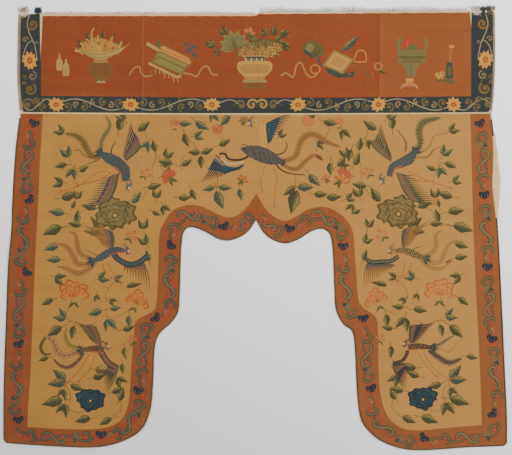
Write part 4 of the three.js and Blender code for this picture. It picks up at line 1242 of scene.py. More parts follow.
def books_and_scrolls(p):
    """A rolled scroll and a bound book with its pages, tied with a ribbon that waves out to both
    sides, and a dark seal-cloth behind."""
    left = spline([(-262, 318), (-254, 330), (-246, 335), (-240, 334), (-237, 322), (-228, 315),
                   (-214, 317)])
    edged(p, left, 3.0, "tan", "brown", 0.5)
    right = spline([(-150, 322), (-134, 320), (-122, 315), (-112, 330), (-102, 337), (-95, 330),
                    (-90, 320), (-78, 318)])
    edged(p, right, 3.2, "tan", "brown", 0.5)
    p.disc((-212, 322), 6.5, "olive", 9)
    p.disc((-212, 322), 3.6, "rust", 8)
    for x, y, turn in ((-152, 376, 0.5), (-138, 378, -0.2), (-134, 368, -0.9), (-148, 368, 0.1)):
        t = np.linspace(0, 1, 6)
        half = 3.6 * np.sin(np.pi * t)[:, None] * [0, 1]
        spine = np.column_stack([20 * t, 2 * t**2])
        p.area(placed(blade(spine, half), (x, y), turn), "slate")
        p.line(placed(spine[1:-1], (x, y), turn), 1.0, "mauve")
    p.line(spline([(-168, 374), (-160, 384), (-148, 380), (-146, 372)]), 2.4, "brown")
    p.area([(-207, 392), (-199, 389), (-195, 376), (-206, 372)], "leaf")
    edged(p, [(-226, 384), (-188, 362)], 6.5, "straw", "olive")
    p.area([(-199, 378), (-190, 380), (-138, 356), (-131, 344), (-138, 336), (-192, 364)], "olive")
    p.area([(-197, 376), (-190, 378), (-140, 354), (-134, 344), (-139, 339), (-192, 366)],
           "apricot")
    p.line([(-194, 371), (-138, 346)], 1.2, "coral")
    p.area([(-203, 369), (-193, 366), (-137, 340), (-152, 318), (-216, 345)], "olive")
    p.area([(-202, 366), (-193, 363), (-142, 339), (-154, 321), (-212, 345)], "leaf_light")
    p.line([(-212, 348), (-200, 356), (-146, 331)], 1.4, "leaf_dark")
    p.line([(-194, 364), (-204, 346)], 1.2, "olive")
    edged(p, [(-222, 343), (-164, 314), (-154, 316)], 5.0, "straw", "olive")
    for i in range(8):
        root = (-206 + 6.4 * i, 333 - 2.9 * i)
        p.line(curl(root, 4.4 + 0.3 * (i % 3), 13 - (i % 3) * 2, 0.6, 6), 2.0, "tan")


def bowl_of_flowers(p):
    """A round bowl on a stepped foot, with a lappet collar. It holds a lotus that leans to the
    left, gold blossom that spills over the rim, a bud, and sprays of dark leaves."""
    for path in ([(-2, 356), (-20, 372), (-38, 388)], [(0, 356), (4, 384), (-12, 410)],
                 [(4, 356), (22, 376), (44, 396)], [(0, 356), (-40, 366), (-84, 376)]):
        p.line(spline(path), 2.0, "leaf")
    for row in ((-84, 378, 150, 22, 3, "olive"), (-74, 366, 200, 20, 2, "olive"),
                (-60, 404, 140, 22, 2, "olive"), (24, 404, 160, 22, 2, "green"),
                (34, 402, 60, 20, 3, "green"), (52, 402, 10, 22, 3, "green"),
                (56, 386, 300, 24, 3, "olive"), (44, 388, 20, 22, 2, "green"),
                (-2, 384, 100, 20, 3, "green"), (14, 384, 60, 20, 2, "olive"),
                (-24, 366, 170, 22, 2, "green"), (40, 370, 330, 22, 2, "brown")):
        spray(p, *row)
    lotus(p, (-42, 376), 32, 1.85, ("leaf_light", "sage", "leaf"))
    half_daisy(p, (-13, 404), 14, 1.5, ("blush", "coral", "rose"), 6)
    for x, y, reach, silk in ((30, 378, 17, "olive"), (46, 374, 13, "tan"), (10, 378, 15, "olive"),
                              (-6, 374, 14, "leaf_light"), (14, 367, 14, "tan"), (34, 367, 13, "gold"),
                              (-24, 366, 13, "tan"), (-8, 363, 11, "apricot"), (24, 362, 9, "gold")):
        blossom(p, (x, y), reach, ("dark_olive", silk, "tan"), (5, 3), 0.1 * x)
    vessel(p, 0, [(359, 26), (356, 28), (354, 22)], "tan")
    vessel(p, 0, [(356, 19), (350, 22), (342, 24)], "teal")
    for i in range(8):
        p.disc((-19 + 5.5 * i, 350), 2.0, "sage" if i % 2 else "pale", 7, 1.7)
        p.disc((-19 + 5.5 * i, 345), 1.1, "pale", 5)
    body = [(347, 25), (346, 32), (343, 36), (337, 38), (329, 37), (322, 32), (314, 23)]
    vessel(p, -1, body, "olive")
    vessel(p, -1, [(y + 0.4, half - 1.3) for y, half in body], "gold")
    vessel(p, -1, [(341, 20), (338, 32), (330, 31), (321, 22)], "tan")
    p.line(spline([(-32, 340), (-24, 329), (0, 323), (22, 329), (30, 340)]), 1.4, "apricot")
    vessel(p, -1, [(314, 20), (311, 22), (308, 20)], "tan")
    vessel(p, -1, [(308, 23), (305, 26), (302, 24)], "peony_light")
    vessel(p, -1, [(300, 25), (296, 26), (288, 24)], "vase")
    p.line([(-22, 296), (18, 296)], 1.6, "leaf")


def fan_and_books(p):
    """A round fan on a stem and a covered book with a leaf, joined by a waving ribbon."""
    p.line(spline([(53, 317), (65, 322), (79, 314), (86, 338), (96, 343), (106, 321), (117, 313),
                   (130, 321)]), 3.6, "tan")
    a = np.linspace(0, 2 * np.pi, 14)
    loop = np.column_stack([125 + 10 * np.cos(a), 330 + 9 * np.sin(a)])
    p.line(loop, 2.4, "apricot")
    p.line([(128, 362), (137, 336)], 4.0, "slate")
    fan = [(98, 376), (106, 386), (120, 390), (134, 384), (145, 370), (140, 358), (126, 352),
           (110, 360)]
    p.area(fan, "leaf")
    p.area([(104, 377), (114, 385), (124, 378), (118, 366), (108, 364)], "leaf_light")
    for i in range(6):
        p.line([(126, 356), (104 + 8 * i, 380 + 5 * math.sin(i))], 0.9, "leaf_dark")
    p.area([(98, 374), (104, 362), (116, 354), (124, 354), (112, 366)], "teal")
    leaf(p, (180, 368), 0.68, 52, 15, 0.05, "grey")
    p.area([(146, 334), (150, 322), (172, 312), (204, 314), (206, 326), (184, 322)], "leaf_dark")
    p.area([(150, 332), (160, 322), (178, 318)], "slate")
    p.area([(190, 318), (202, 318), (196, 324)], "mauve")
    p.area([(164, 370), (206, 350), (182, 320), (140, 338)], "leaf_light")
    p.area([(165, 365), (199, 349), (180, 325), (147, 340)], "gold")
    p.area([(166, 360), (192, 348), (179, 331), (154, 341)], "tan")
    p.line(spline([(206, 350), (212, 366), (222, 370), (230, 362), (229, 346), (206, 346)]),
           2.6, "apricot")
    p.line([(207, 344), (212, 326), (208, 314)], 3.4, "leaf")
    p.line([(226, 342), (230, 324), (236, 312)], 3.4, "leaf")
    p.line([(242, 324), (246, 312)], 3.0, "olive")
    ring = np.column_stack([256 + 8 * np.cos(a), 336 + 7 * np.sin(a)])
    p.line(ring, 2.8, "tan")
    leaf(p, (258, 328), -0.5, 18, 8, 0.1, "green")


def incense_burner(p):
    """A green footed burner with upright ears, a flame and a scrolled foot."""
    for x, turn in ((302, 2.0), (352, 1.1)):
        ear = curl((x, 366), turn, 30, -1.6 if x < 320 else 1.6, 10)
        p.line(ear, (6, 8.5), "sage")
        p.line(ear, 1.8, "olive")
    p.area([(312, 374), (308, 392), (314, 386), (318, 398), (322, 386), (330, 394), (324, 374)],
           "flame")
    p.line([(316, 376), (318, 390)], 1.6, "pink")
    vessel(p, 326, [(384, 2), (378, 9), (372, 14), (368, 14)], "grey_green")
    vessel(p, 326, [(371, 26), (367, 31), (362, 31), (358, 28), (350, 29), (345, 30), (342, 22)],
           "sage")
    vessel(p, 326, [(366, 24), (364, 26), (362, 22)], "olive")
    vessel(p, 326, [(358, 27), (355, 28), (352, 27)], "leaf")
    vessel(p, 326, [(350, 16), (346, 22), (343, 18)], "vase_line")
    vessel(p, 324, [(342, 18), (334, 14), (324, 10), (314, 9)], "sage")
    p.line([(324, 338), (324, 316)], 3.0, "vase_line")
    vessel(p, 321, [(311, 9), (306, 8), (302, 5)], "gold")
    vessel(p, 321, [(301, 8), (297, 15), (291, 18), (294, 8)], "pink")
    p.line(spline([(303, 290), (308, 297), (318, 300)]), 3.0, "gold")
    p.line(spline([(338, 290), (333, 297), (324, 300)]), 3.0, "gold")


def slim_vase(p):
    """A slim green vase holding a stalk, with fruit beside it on a low stand."""
    vessel(p, 404, [(345, 4), (340, 6), (328, 7), (316, 8), (310, 6)], "teal")
    vessel(p, 404, [(336, 3), (326, 4), (316, 4)], "leaf")
    p.line([(405, 344), (406, 362), (408, 372)], 4.6, "umber")
    p.line([(405, 344), (406, 362), (408, 372)], 1.4, "clay")
    p.disc((409, 377), 6.4, "blush", 9, 0.6)
    p.disc((408, 371), 2.6, "coral", 7)
    for x, y in ((380, 318), (389, 320), (385, 311)):
        p.disc((x, y), 5.6, "gold", 9)
        p.disc((x + 1, y + 1), 2.4, "olive", 7)
    p.area([(372, 309), (380, 303), (394, 305), (406, 298), (418, 302), (412, 308), (396, 310)],
           "leaf")


def heading_ornament(p):
    """The antiques from left to right, the lower band and both side bands."""
    for draw in (small_bottles, dish_of_fruit, books_and_scrolls, bowl_of_flowers, fan_and_books,
                 incense_burner, slim_vase, band_vine):
        draw(p)
    side_band(p)
    p.flip = True
    p.moved = (10.0, 2.0)
    side_band(p)
    p.upright()


# Outlines of the pieces

upper_left_edge, upper_right_edge = spline(UPPER_LEFT_EDGE, 2), spline(UPPER_RIGHT_EDGE, 2)
left_edge, right_edge = spline(LEFT_EDGE), spline(RIGHT_EDGE)
around_arch = np.vstack([spline(LEFT_LEG), spline(RIGHT_LEG)[1:]])
middle_join = spline(MIDDLE_JOIN, 3)
ARCH_POINT = (1.5, 15.5)
# Mouth and end of the slit beside each side band
LEFT_SLIT = [(-441.8, TOP_LEFT), (-447.4, 334), (-448.2, TOP_LEFT)]
RIGHT_SLIT = [(450.6, BAND_TOP_RIGHT), (450.2, 411), (445.4, float(top_right(445.4)))]


def lining_outline():
    """The lining's edge: the cloth's own, a little above its top edge, and out past its right side
    where it has slipped."""
    top = np.array([(499, BAND_TOP_RIGHT), (450, BAND_TOP_RIGHT), (445.8, top_right(445.8)),
                    (7.5, top_right(7.5)), (4.5, TOP_LEFT), (-493, TOP_LEFT)])
    top[:, 1] += LINING_MARGIN
    slipped = spline(SLIPPED_LINING, 3)[::-1]
    right = np.vstack([right_edge[right_edge[:, 1] < 14], slipped,
                       right_edge[right_edge[:, 1] > 196]])
    return np.vstack([left_edge, around_arch, right, upper_right_edge[::-1][1:-1], top,
                      upper_left_edge[1:-1]])


def lower_outline():
    """The lower panel's edge, closed above the seam, where each use of it is cut off."""
    return np.vstack([[(-490, 255)], left_edge, around_arch, right_edge, [(492, 255)]])


def lower_half(left):
    """Woven outline of one half of the lower panel, from the seam to its foot."""
    whole = drawn_in(lower_outline(), PIPING_INSET + PIPING_WIDTH + GAP)
    clear = SEAM_WIDTH / 2 + GAP
    whole = whole[whole[:, 1] < seam_y(whole[:, 0]) - clear - 2]
    apex = int(np.argmin(np.linalg.norm(whole - (ARCH_POINT[0], 23), axis=1)))
    join = middle_join[(middle_join[:, 1] < SEAM_Y - 4) & (middle_join[:, 1] > 34)]
    join = np.vstack([(7, SEAM_Y - clear), join])
    if left:
        seam = along_seam(-6, whole[0, 0] - 0.6, -clear, 12)
        return np.vstack([whole[: apex + 1] - [GAP / 2, 0], join[::-1] - [GAP / 2, 0], seam])
    seam = along_seam(whole[-1, 0] + 0.6, 20, -clear, 12)
    return np.vstack([whole[apex:] + [GAP / 2, 0], seam, join + [GAP / 2, 0]])


def upper_half(left):
    """Woven outline of one half of the upper panel, with its slit cut in from the top edge."""
    clear = SEAM_WIDTH / 2 + GAP
    join = middle_join[(middle_join[:, 1] > SEAM_Y + 4) & (middle_join[:, 1] < TOP_LEFT - 3)]
    join = np.vstack([(4.6, TOP_LEFT - 2.6), join, (7, SEAM_Y + clear)])
    if left:
        edge = upper_left_edge[:-1] + [BINDING_INSET + BINDING_WIDTHS["left"] + GAP, 0]
        foot = along_seam(edge[-1, 0] + 3, -6, clear, 12)
        top = [(-8, TOP_LEFT), *LEFT_SLIT]
        corner = [(0, TOP_LEFT - 1.6)]
        return np.vstack([edge, foot, join[::-1] - [GAP / 2, 0], corner, top])
    edge = upper_right_edge[:-1][::-1] - [BINDING_INSET + BINDING_WIDTHS["right"] + GAP, 0]
    foot = along_seam(20, edge[0, 0] - 3, clear, 12)
    top = [*RIGHT_SLIT, (10, float(top_right(10)))]
    return np.vstack([foot, edge, top, join + [GAP / 2, 0]])


# Meshes

def linked(name, data):
    obj = bpy.data.objects.new(name, data)
    bpy.context.scene.collection.objects.link(obj)
    return obj


def new_object(name, verts, faces):
    """Object at the origin with its place in its mesh, shaded smooth but for its sharp edges."""
    mesh = bpy.data.meshes.new(name)
    mesh.from_pydata(np.asarray(verts, float) * MM, [], [list(map(int, f)) for f in faces])
    mesh.update()
    mesh.polygons.foreach_set("use_smooth", np.ones(len(mesh.polygons), bool))
    mesh.set_sharp_from_angle(angle=math.radians(38))
    return linked(name, mesh)


def honeycomb(outline, spacing):
    """Points in staggered rows inside an outline, clear of its edge."""
    low, high = outline.min(0), outline.max(0)
    rows = np.arange(low[1], high[1], spacing * 0.87)
    columns = np.arange(low[0], high[0], spacing)
    x, y = np.meshgrid(columns, rows)
    x = x + 0.5 * spacing * (np.arange(len(rows)) % 2)[:, None]
    points = np.column_stack([x.ravel(), y.ravel()])
    return np.round(points[inside(points, outline)], 2)


def triangulated(points, edges):
    """Constrained Delaunay triangles over points in the plane, and their corner order."""
    verts, _, faces, source, _, _ = delaunay_2d_cdt(
        [Vector(q) for q in points.tolist()], edges.tolist(), [], 0, 1e-4, True)
    return np.array([v[:] for v in verts]), np.array([f[:] for f in faces]), source


def silk_at(centres, areas, ground):
    """The last laid area that holds each point, by the even-odd rule on the points in its box."""
    order = np.argsort(centres[:, 0])
    sorted_x = centres[order, 0]
    silk = np.full(len(centres), ground)
    for outline, index in areas:
        low, high = outline.min(0), outline.max(0)
        start, stop = np.searchsorted(sorted_x, (low[0], high[0]))
        picked = order[start:stop]
        picked = picked[(centres[picked, 1] >= low[1]) & (centres[picked, 1] <= high[1])]
        if len(picked):
            silk[picked[inside(centres[picked], outline)]] = index
    return silk


def loop_edges(start, count):
    """Edges of a closed ring of points that starts at one number."""
    index = np.arange(count)
    return np.column_stack([start + index, start + (index + 1) % count])


def cloth_sheet(name, outline, areas, ground, base, thickness, spacing):
    """A sheet cut to an outline. Its face is triangulated through the edges of every area laid on
    it, its underside more coarsely, and a wall joins them along the face's own rim. Each corner
    holds its silk's colour in the attribute silk."""
    outline = finely(np.round(outline, 2))
    low, high = outline.min(0) - 2, outline.max(0) + 2
    laid = [(q, s) for q, s in areas if (q.max(0) > low).all() and (q.min(0) < high).all()]
    grid = honeycomb(outline, spacing)
    points, edges, start = [outline, grid], [loop_edges(0, len(outline))], len(outline) + len(grid)
    for q, _ in laid:
        points.append(q)
        edges.append(loop_edges(start, len(q)))
        start += len(q)
    flat, faces, _ = triangulated(np.vstack(points), np.vstack(edges))
    centres = flat[faces].mean(1)
    kept = inside(centres, outline)
    faces, centres = faces[kept], centres[kept]
    silk = silk_at(centres, laid, SILK_NAMES.index(ground))
    sides = np.vstack([faces[:, [0, 1]], faces[:, [1, 2]], faces[:, [2, 0]]])
    _, first, uses = np.unique(np.sort(sides, axis=1), axis=0, return_index=True, return_counts=True)
    rim = sides[first[uses == 1]]
    used, rim_local = np.unique(rim, return_inverse=True)
    rim_local = rim_local.reshape(rim.shape)
    under_points = np.vstack([flat[used], honeycomb(outline, 2.2 * spacing)])
    under, under_faces, source = triangulated(under_points, rim_local)
    under_faces = under_faces[inside(under[under_faces].mean(1), outline)]
    below = np.full(len(used), -1)
    for i, sources in enumerate(source):
        for s in sources:
            if s < len(used):
                below[s] = i
    offset = len(flat)
    a, b = rim.T
    wall = np.column_stack([a, offset + below[rim_local[:, 0]], offset + below[rim_local[:, 1]], b])
    top = np.column_stack([flat, base + thickness + lift(*flat.T)])
    bottom = np.column_stack([under, base + lift(*under.T)])
    all_faces = [*faces.tolist(), *(offset + under_faces[:, ::-1]).tolist(), *wall.tolist()]
    verts = np.vstack([top, bottom])
    touched = np.unique(np.concatenate([faces.ravel(), offset + under_faces.ravel(), wall.ravel()]))
    renumber = np.full(len(verts), -1)
    renumber[touched] = np.arange(len(touched))
    obj = new_object(name, verts[touched], [renumber[f] for f in all_faces])
    colours = np.array([[*albedo(SILKS[n]), 1.0] for n in SILK_NAMES])
    rest = len(under_faces) * 3 + len(wall) * 4
    corners = np.concatenate([np.repeat(silk, 3), np.full(rest, SILK_NAMES.index(ground))])
    layer = obj.data.color_attributes.new("silk", "FLOAT_COLOR", "CORNER")
    layer.data.foreach_set("color", colours[corners].ravel().astype(np.float32))
    return obj


def ring_quads(rings, sides):
    """Four-sided faces between each ring of points and the next."""
    i, k = np.meshgrid(np.arange(rings - 1), np.arange(sides), indexing="ij")
    after = (k + 1) % sides
    corners = [i * sides + k, i * sides + after, (i + 1) * sides + after, (i + 1) * sides + k]
    return np.stack(corners, axis=-1).reshape(-1, 4)


def cord(name, path, radius_x, radius_z, base, sides=8):
    """A round cord laid along a line in plan: an oval section carried along it, resting at a
    height above the lifted cloth. Its UV runs round it in turns and along it in centimetres."""
    path = np.asarray(path, float)
    side = sideways(path)
    a = np.linspace(0, 2 * np.pi, sides, endpoint=False)
    ring_xy = path[:, None, :] + radius_x * np.cos(a)[None, :, None] * side[:, None, :]
    height = base + radius_z + lift(*path.T)
    ring_z = height[:, None] + radius_z * np.sin(a)[None, :]
    verts = np.concatenate([ring_xy, ring_z[:, :, None]], axis=2).reshape(-1, 3)
    rings = len(path)
    faces = ring_quads(rings, sides)[:, ::-1].tolist()
    faces.append(list(range(sides)))
    faces.append(list(range((rings - 1) * sides, rings * sides))[::-1])
    obj = new_object(name, verts, faces)
    along = np.r_[0, np.cumsum(np.linalg.norm(np.diff(path, axis=0), axis=1))]
    uv = np.column_stack([a[np.arange(len(verts)) % sides] / (2 * np.pi),
                          along[np.arange(len(verts)) // sides] / 10])
    corner = np.empty(len(obj.data.loops), int)
    obj.data.loops.foreach_get("vertex_index", corner)
    layer = obj.data.uv_layers.new(name="along")
    layer.data.foreach_set("uv", uv[corner].ravel().astype(np.float32))
    return obj


def threads(name, roots, heading, length, bend, width, rise, sides=5, rings=8):
    """Many loose threads as one mesh: each is a tapered round section carried along an arc that
    starts at its root, bends by its own amount and rises and falls as a hump."""
    n = len(roots)
    t = np.linspace(0, 1, rings)
    turn = heading[:, None] + bend[:, None] * t
    step = (length / (rings - 1))[:, None]
    dx = np.cumsum(np.cos(turn) * step, axis=1)
    dy = np.cumsum(np.sin(turn) * step, axis=1)
    x = roots[:, :1] + np.hstack([np.zeros((n, 1)), dx[:, :-1]])
    y = roots[:, 1:2] + np.hstack([np.zeros((n, 1)), dy[:, :-1]])
    radius = 0.5 * width[:, None] * (1 - 0.5 * t)
    z = roots[:, 2:] + radius + rise[:, None] * np.sin(np.pi * t) ** 1.5
    a = np.linspace(0, 2 * np.pi, sides, endpoint=False)
    across_x, across_y = -np.sin(turn), np.cos(turn)
    vx = x[..., None] + radius[..., None] * np.cos(a) * across_x[..., None]
    vy = y[..., None] + radius[..., None] * np.cos(a) * across_y[..., None]
    vz = z[..., None] + radius[..., None] * np.sin(a)
    verts = np.stack([vx, vy, vz], axis=-1).reshape(-1, 3)
    quads = ring_quads(rings, sides)[:, [0, 3, 2, 1]]
    first = np.arange(n)[:, None, None] * rings * sides
    faces = (first + quads[None]).reshape(-1, 4).tolist()
    caps = np.arange(sides)
    faces += (first[:, 0] + caps[::-1][None]).tolist()
    faces += (first[:, 0] + (rings - 1) * sides + caps[None]).tolist()
    return new_object(name, verts, faces)


# Materials

def group(name, inputs, outputs):
    """Empty shader node group with named sockets: its tree, its inputs and its end node."""
    tree = bpy.data.node_groups.new(name, "ShaderNodeTree")
    for socket, kind, value in inputs:
        made = tree.interface.new_socket(socket, in_out="INPUT", socket_type=f"NodeSocket{kind}")
        made.default_value = value
    for socket, kind in outputs:
        tree.interface.new_socket(socket, in_out="OUTPUT", socket_type=f"NodeSocket{kind}")
    return tree, tree.nodes.new("NodeGroupInput").outputs, tree.nodes.new("NodeGroupOutput")


def node(tree, kind, links=(), **values):
    """Adds a node, sets its properties and sockets, and links its inputs by name or number."""
    made = tree.nodes.new(kind)
    for key, value in values.items():
        if hasattr(made, key):
            setattr(made, key, value)
        else:
            made.inputs[key.replace("_", " ")].default_value = value
    for socket, source in links:
        tree.links.new(source, made.inputs[socket])
    return made


def feed(tree, socket, value):
    """Sets a socket from a fixed value, or links it where the value is a socket."""
    if isinstance(value, bpy.types.NodeSocket):
        tree.links.new(value, socket)
    else:
        socket.default_value = value


def combined(tree, operation, a, b=0.5, clamp=False):
    made = node(tree, "ShaderNodeMath", operation=operation, use_clamp=clamp)
    feed(tree, made.inputs[0], a)
    feed(tree, made.inputs[1], b)
    return made.outputs[0]


def add(tree, a, b, clamp=False):
    return combined(tree, "ADD", a, b, clamp)


def times(tree, a, b):
    return combined(tree, "MULTIPLY", a, b)


def noise(tree, vector, scale, detail, roughness):
    return node(tree, "ShaderNodeTexNoise", [("Vector", vector)], Scale=scale, Detail=detail,
                Roughness=roughness).outputs["Fac"]


def scaled(tree, vector, size):
    return node(tree, "ShaderNodeMapping", [("Vector", vector)], Scale=size).outputs["Vector"]


def mixed(tree, factor, a, b):
    """Colour mix whose ends may be sockets or fixed colours."""
    made = node(tree, "ShaderNodeMix", [(0, factor)], data_type="RGBA")
    feed(tree, made.inputs[6], a)
    feed(tree, made.inputs[7], b)
    return made.outputs[2]


def ranged(tree, value, low, high, to_low, to_high):
    """The value carried evenly from one range to another, and held at its ends."""
    return node(tree, "ShaderNodeMapRange", [("Value", value)], From_Min=low, From_Max=high,
                To_Min=to_low, To_Max=to_high).outputs["Result"]


# Tones that faded dye and wear leave on the silk; the faded tone also serves as painted light towards the
# cloth's right side
FADED_AND_LIT_TO = (196, 150, 104)
WORN_TO = (206, 168, 122)
# Painted shade along the upright creases, and a painted highlight beside the left one, as (x in metres,
# strength, tone)
CREASE_SHADE_LINES = [
    (-0.2365, 0.5, (78, 46, 30)), (-0.2340, 0.16, (206, 160, 110)), (0.2555, 0.34, (90, 56, 36)),
    (-0.0710, 0.10, (90, 56, 36)), (0.1330, 0.10, (90, 56, 36)),
]
CREASE_REACH = 0.0016


def silk_weave_group():
    """Tapestry weave: fine weft rows whose tone wanders along the row, upright warp ribs, worn
    and faded patches, painted shade along the creases with a painted highlight beside one, and
    painted light: darker on the cloth's left, lighter and paler on its right, darker towards its bottom."""
    tree, ins, outs = group(
        "silk weave",
        [("Silk", "Color", (0.5, 0.3, 0.2, 1)), ("Fade", "Float", 0.3)],
        [("Color", "Color"), ("Height", "Float"), ("Roughness", "Float")],
    )
    place = node(tree, "ShaderNodeTexCoord").outputs["Object"]
    split = node(tree, "ShaderNodeSeparateXYZ", [(0, place)])
    x, y = split.outputs["X"], split.outputs["Y"]
    rows = noise(tree, scaled(tree, place, (5, 520, 1)), 1.0, 3.0, 0.6)
    broad = noise(tree, scaled(tree, place, (2.2, 60, 1)), 1.0, 3.0, 0.55)
    patch = noise(tree, place, 7.0, 4.0, 0.6)
    upright = noise(tree, scaled(tree, place, (95, 2.0, 1)), 1.0, 2.0, 0.5)
    tone = 1.0
    # The last two rows are painted light and shade: the cloth darker on its left and lighter on its right,
    # and darker towards its bottom.
    for value, low, high, darker, lighter in (
        (rows, 0.25, 0.75, -0.075, 0.075), (broad, 0.3, 0.7, -0.055, 0.055),
        (upright, 0.3, 0.7, -0.03, 0.03), (patch, 0.3, 0.7, -0.05, 0.05),
        (x, -0.5, 0.5, -0.07, 0.06), (y, -0.4, 0.1, -0.09, 0.0),
    ):
        tone = add(tree, ranged(tree, value, low, high, darker, lighter), tone)
    lit = node(tree, "ShaderNodeVectorMath", [(0, ins["Silk"]), ("Scale", tone)], operation="SCALE")
    # Painted light: the silk turns paler towards the cloth's right side; the patches added to it are silk
    # that has faded.
    fade_and_light = times(tree, ranged(tree, x, -0.5, 0.5, 0.0, 1.0), ins["Fade"])
    fade_and_light = add(tree, fade_and_light, ranged(tree, patch, 0.52, 0.75, 0.0, 0.08))
    grey = node(tree, "ShaderNodeRGBToBW", [(0, ins["Silk"])]).outputs[0]
    fade_and_light = times(tree, fade_and_light, ranged(tree, grey, 0.02, 0.12, 0.0, 1.0))
    faded_and_lit = mixed(tree, fade_and_light, lit.outputs[0], (*albedo(FADED_AND_LIT_TO), 1))
    flecks = noise(tree, scaled(tree, place, (300, 420, 1)), 1.0, 1.0, 0.4)
    worn = times(tree, ranged(tree, flecks, 0.66, 0.74, 0.0, 0.4), ranged(tree, patch, 0.45, 0.7, 0.2, 1.0))
    colour = mixed(tree, worn, faded_and_lit, (*albedo(WORN_TO), 1))
    drift = ranged(tree, upright, 0.0, 1.0, -0.0006, 0.0006)
    height_share = ranged(tree, y, 0.22, 0.26, 0.3, 1.0)
    # Painted shade along each crease, and at one line a painted highlight.
    for at, share, tint in CREASE_SHADE_LINES:
        far = combined(tree, "ABSOLUTE", add(tree, combined(tree, "SUBTRACT", x, at), drift))
        crease_shade = times(tree, ranged(tree, far, 0.0, CREASE_REACH, share, 0.0), height_share)
        colour = mixed(tree, crease_shade, colour, (*albedo(tint), 1))
    weft = node(tree, "ShaderNodeTexWave", [("Vector", place)], wave_type="BANDS",
                bands_direction="Y", Scale=260.0, Distortion=1.2, Detail=1.0)
    warp = node(tree, "ShaderNodeTexWave", [("Vector", place)], wave_type="BANDS",
                bands_direction="X", Scale=170.0, Distortion=0.6, Detail=1.0)
    ribs = add(tree, times(tree, weft.outputs["Fac"], 0.35), times(tree, warp.outputs["Fac"], 0.65))
    height = add(tree, ribs, times(tree, rows, 0.8))
    rough = ranged(tree, rows, 0.3, 0.7, 0.72, 0.88)
    for socket, value in (("Color", colour), ("Height", height), ("Roughness", rough)):
        tree.links.new(value, outs.inputs[socket])
    return tree


def thread_group():
    """Spun thread: tone that wanders along and across it, and a fine twist."""
    tree, ins, outs = group(
        "spun thread",
        [("Light", "Color", (0.7, 0.6, 0.45, 1)), ("Dark", "Color", (0.4, 0.3, 0.2, 1))],
        [("Color", "Color"), ("Height", "Float")],
    )
    place = node(tree, "ShaderNodeTexCoord").outputs["Object"]
    large = noise(tree, place, 38.0, 3.0, 0.6)
    fine = noise(tree, scaled(tree, place, (900, 500, 900)), 1.0, 2.0, 0.5)
    blend = add(tree, ranged(tree, large, 0.3, 0.7, 0.0, 0.7), ranged(tree, fine, 0.3, 0.7, 0.0, 0.3), True)
    tree.links.new(mixed(tree, blend, ins["Light"], ins["Dark"]), outs.inputs["Color"])
    tree.links.new(fine, outs.inputs["Height"])
    return tree


SILK_WEAVE = silk_weave_group()
SPUN_THREAD = thread_group()


BUMP_DISTANCE = 0.0004
SHEEN = 0.08
SILK_SPECULAR = 0.25


def painted(name):
    """A new material, its tree and its shader."""
    material = bpy.data.materials.new(name)
    material.use_nodes = True
    return material, material.node_tree, material.node_tree.nodes["Principled BSDF"]


def shaded(name, colour_of, bump_strength):
    """A cloth material: colour_of(tree) gives its colour, height and roughness."""
    material, tree, shader = painted(name)
    colour, height, rough = colour_of(tree)
    tree.links.new(colour, shader.inputs["Base Color"])
    feed(tree, shader.inputs["Roughness"], rough)
    shader.inputs["Sheen Weight"].default_value = SHEEN
    shader.inputs["Sheen Roughness"].default_value = 0.5
    shader.inputs["Specular IOR Level"].default_value = SILK_SPECULAR
    bump = node(tree, "ShaderNodeBump", [("Height", height)], Strength=bump_strength,
                Distance=BUMP_DISTANCE)
    tree.links.new(bump.outputs["Normal"], shader.inputs["Normal"])
    return material


def woven_silk(name, fade_and_light):
    """Tapestry silk in the colours laid on the mesh."""
    def parts(tree):
        laid = node(tree, "ShaderNodeAttribute", attribute_name="silk")
        weave = node(tree, "ShaderNodeGroup", node_tree=SILK_WEAVE)
        tree.links.new(laid.outputs["Color"], weave.inputs["Silk"])
        weave.inputs["Fade"].default_value = fade_and_light
        return weave.outputs["Color"], weave.outputs["Height"], weave.outputs["Roughness"]
    return shaded(name, parts, 0.35)


def thread_silk(name, light, dark, strength=0.5):
    """Thread, cord or plain-woven silk between two tones."""
    def parts(tree):
        spun = node(tree, "ShaderNodeGroup", node_tree=SPUN_THREAD)
        spun.inputs["Light"].default_value = (*albedo(light), 1)
        spun.inputs["Dark"].default_value = (*albedo(dark), 1)
        return spun.outputs["Color"], spun.outputs["Height"], 0.85
    return shaded(name, parts, strength)


MATERIALS = {
    "tapestry_upper": woven_silk("tapestry silk, heading", 0.16),
    "tapestry_lower": woven_silk("tapestry silk, panel", 0.3),
    "lining": thread_silk("plain lining silk", (232, 208, 168), (206, 172, 128), 0.25),
    "seam_cord": thread_silk("cream piping silk", (224, 196, 152), (192, 156, 112)),
    "edge_cord": thread_silk("brown piping silk", (120, 92, 76), (78, 56, 46)),
    "binding": thread_silk("turned edge silk", (164, 146, 124), (128, 106, 86)),
    "loose_warp": thread_silk("loose warp silk", (236, 224, 204), (168, 150, 126)),
    "teal_threads": thread_silk("matted teal silk", (58, 76, 80), (34, 46, 52)),
    "green_threads": thread_silk("matted green silk", (98, 106, 92), (54, 62, 56)),
    "brown_threads": thread_silk("matted brown silk", (142, 128, 106), (84, 76, 62)),
}


def finish_piece(obj, material, slot, *nodes):
    """Gives a piece its material, attaches it to the root body and hides the solids it stands for; its slot
    is not used.
    """
    obj.data.materials.append(MATERIALS[material])
    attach(obj, "root")
    if nodes:
        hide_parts(*nodes)
    return obj


# The pieces

# Longest side of the triangles of a face, apart from its pattern
TAPESTRY_SPACING = 7.0
LINING_SPACING = 9.0


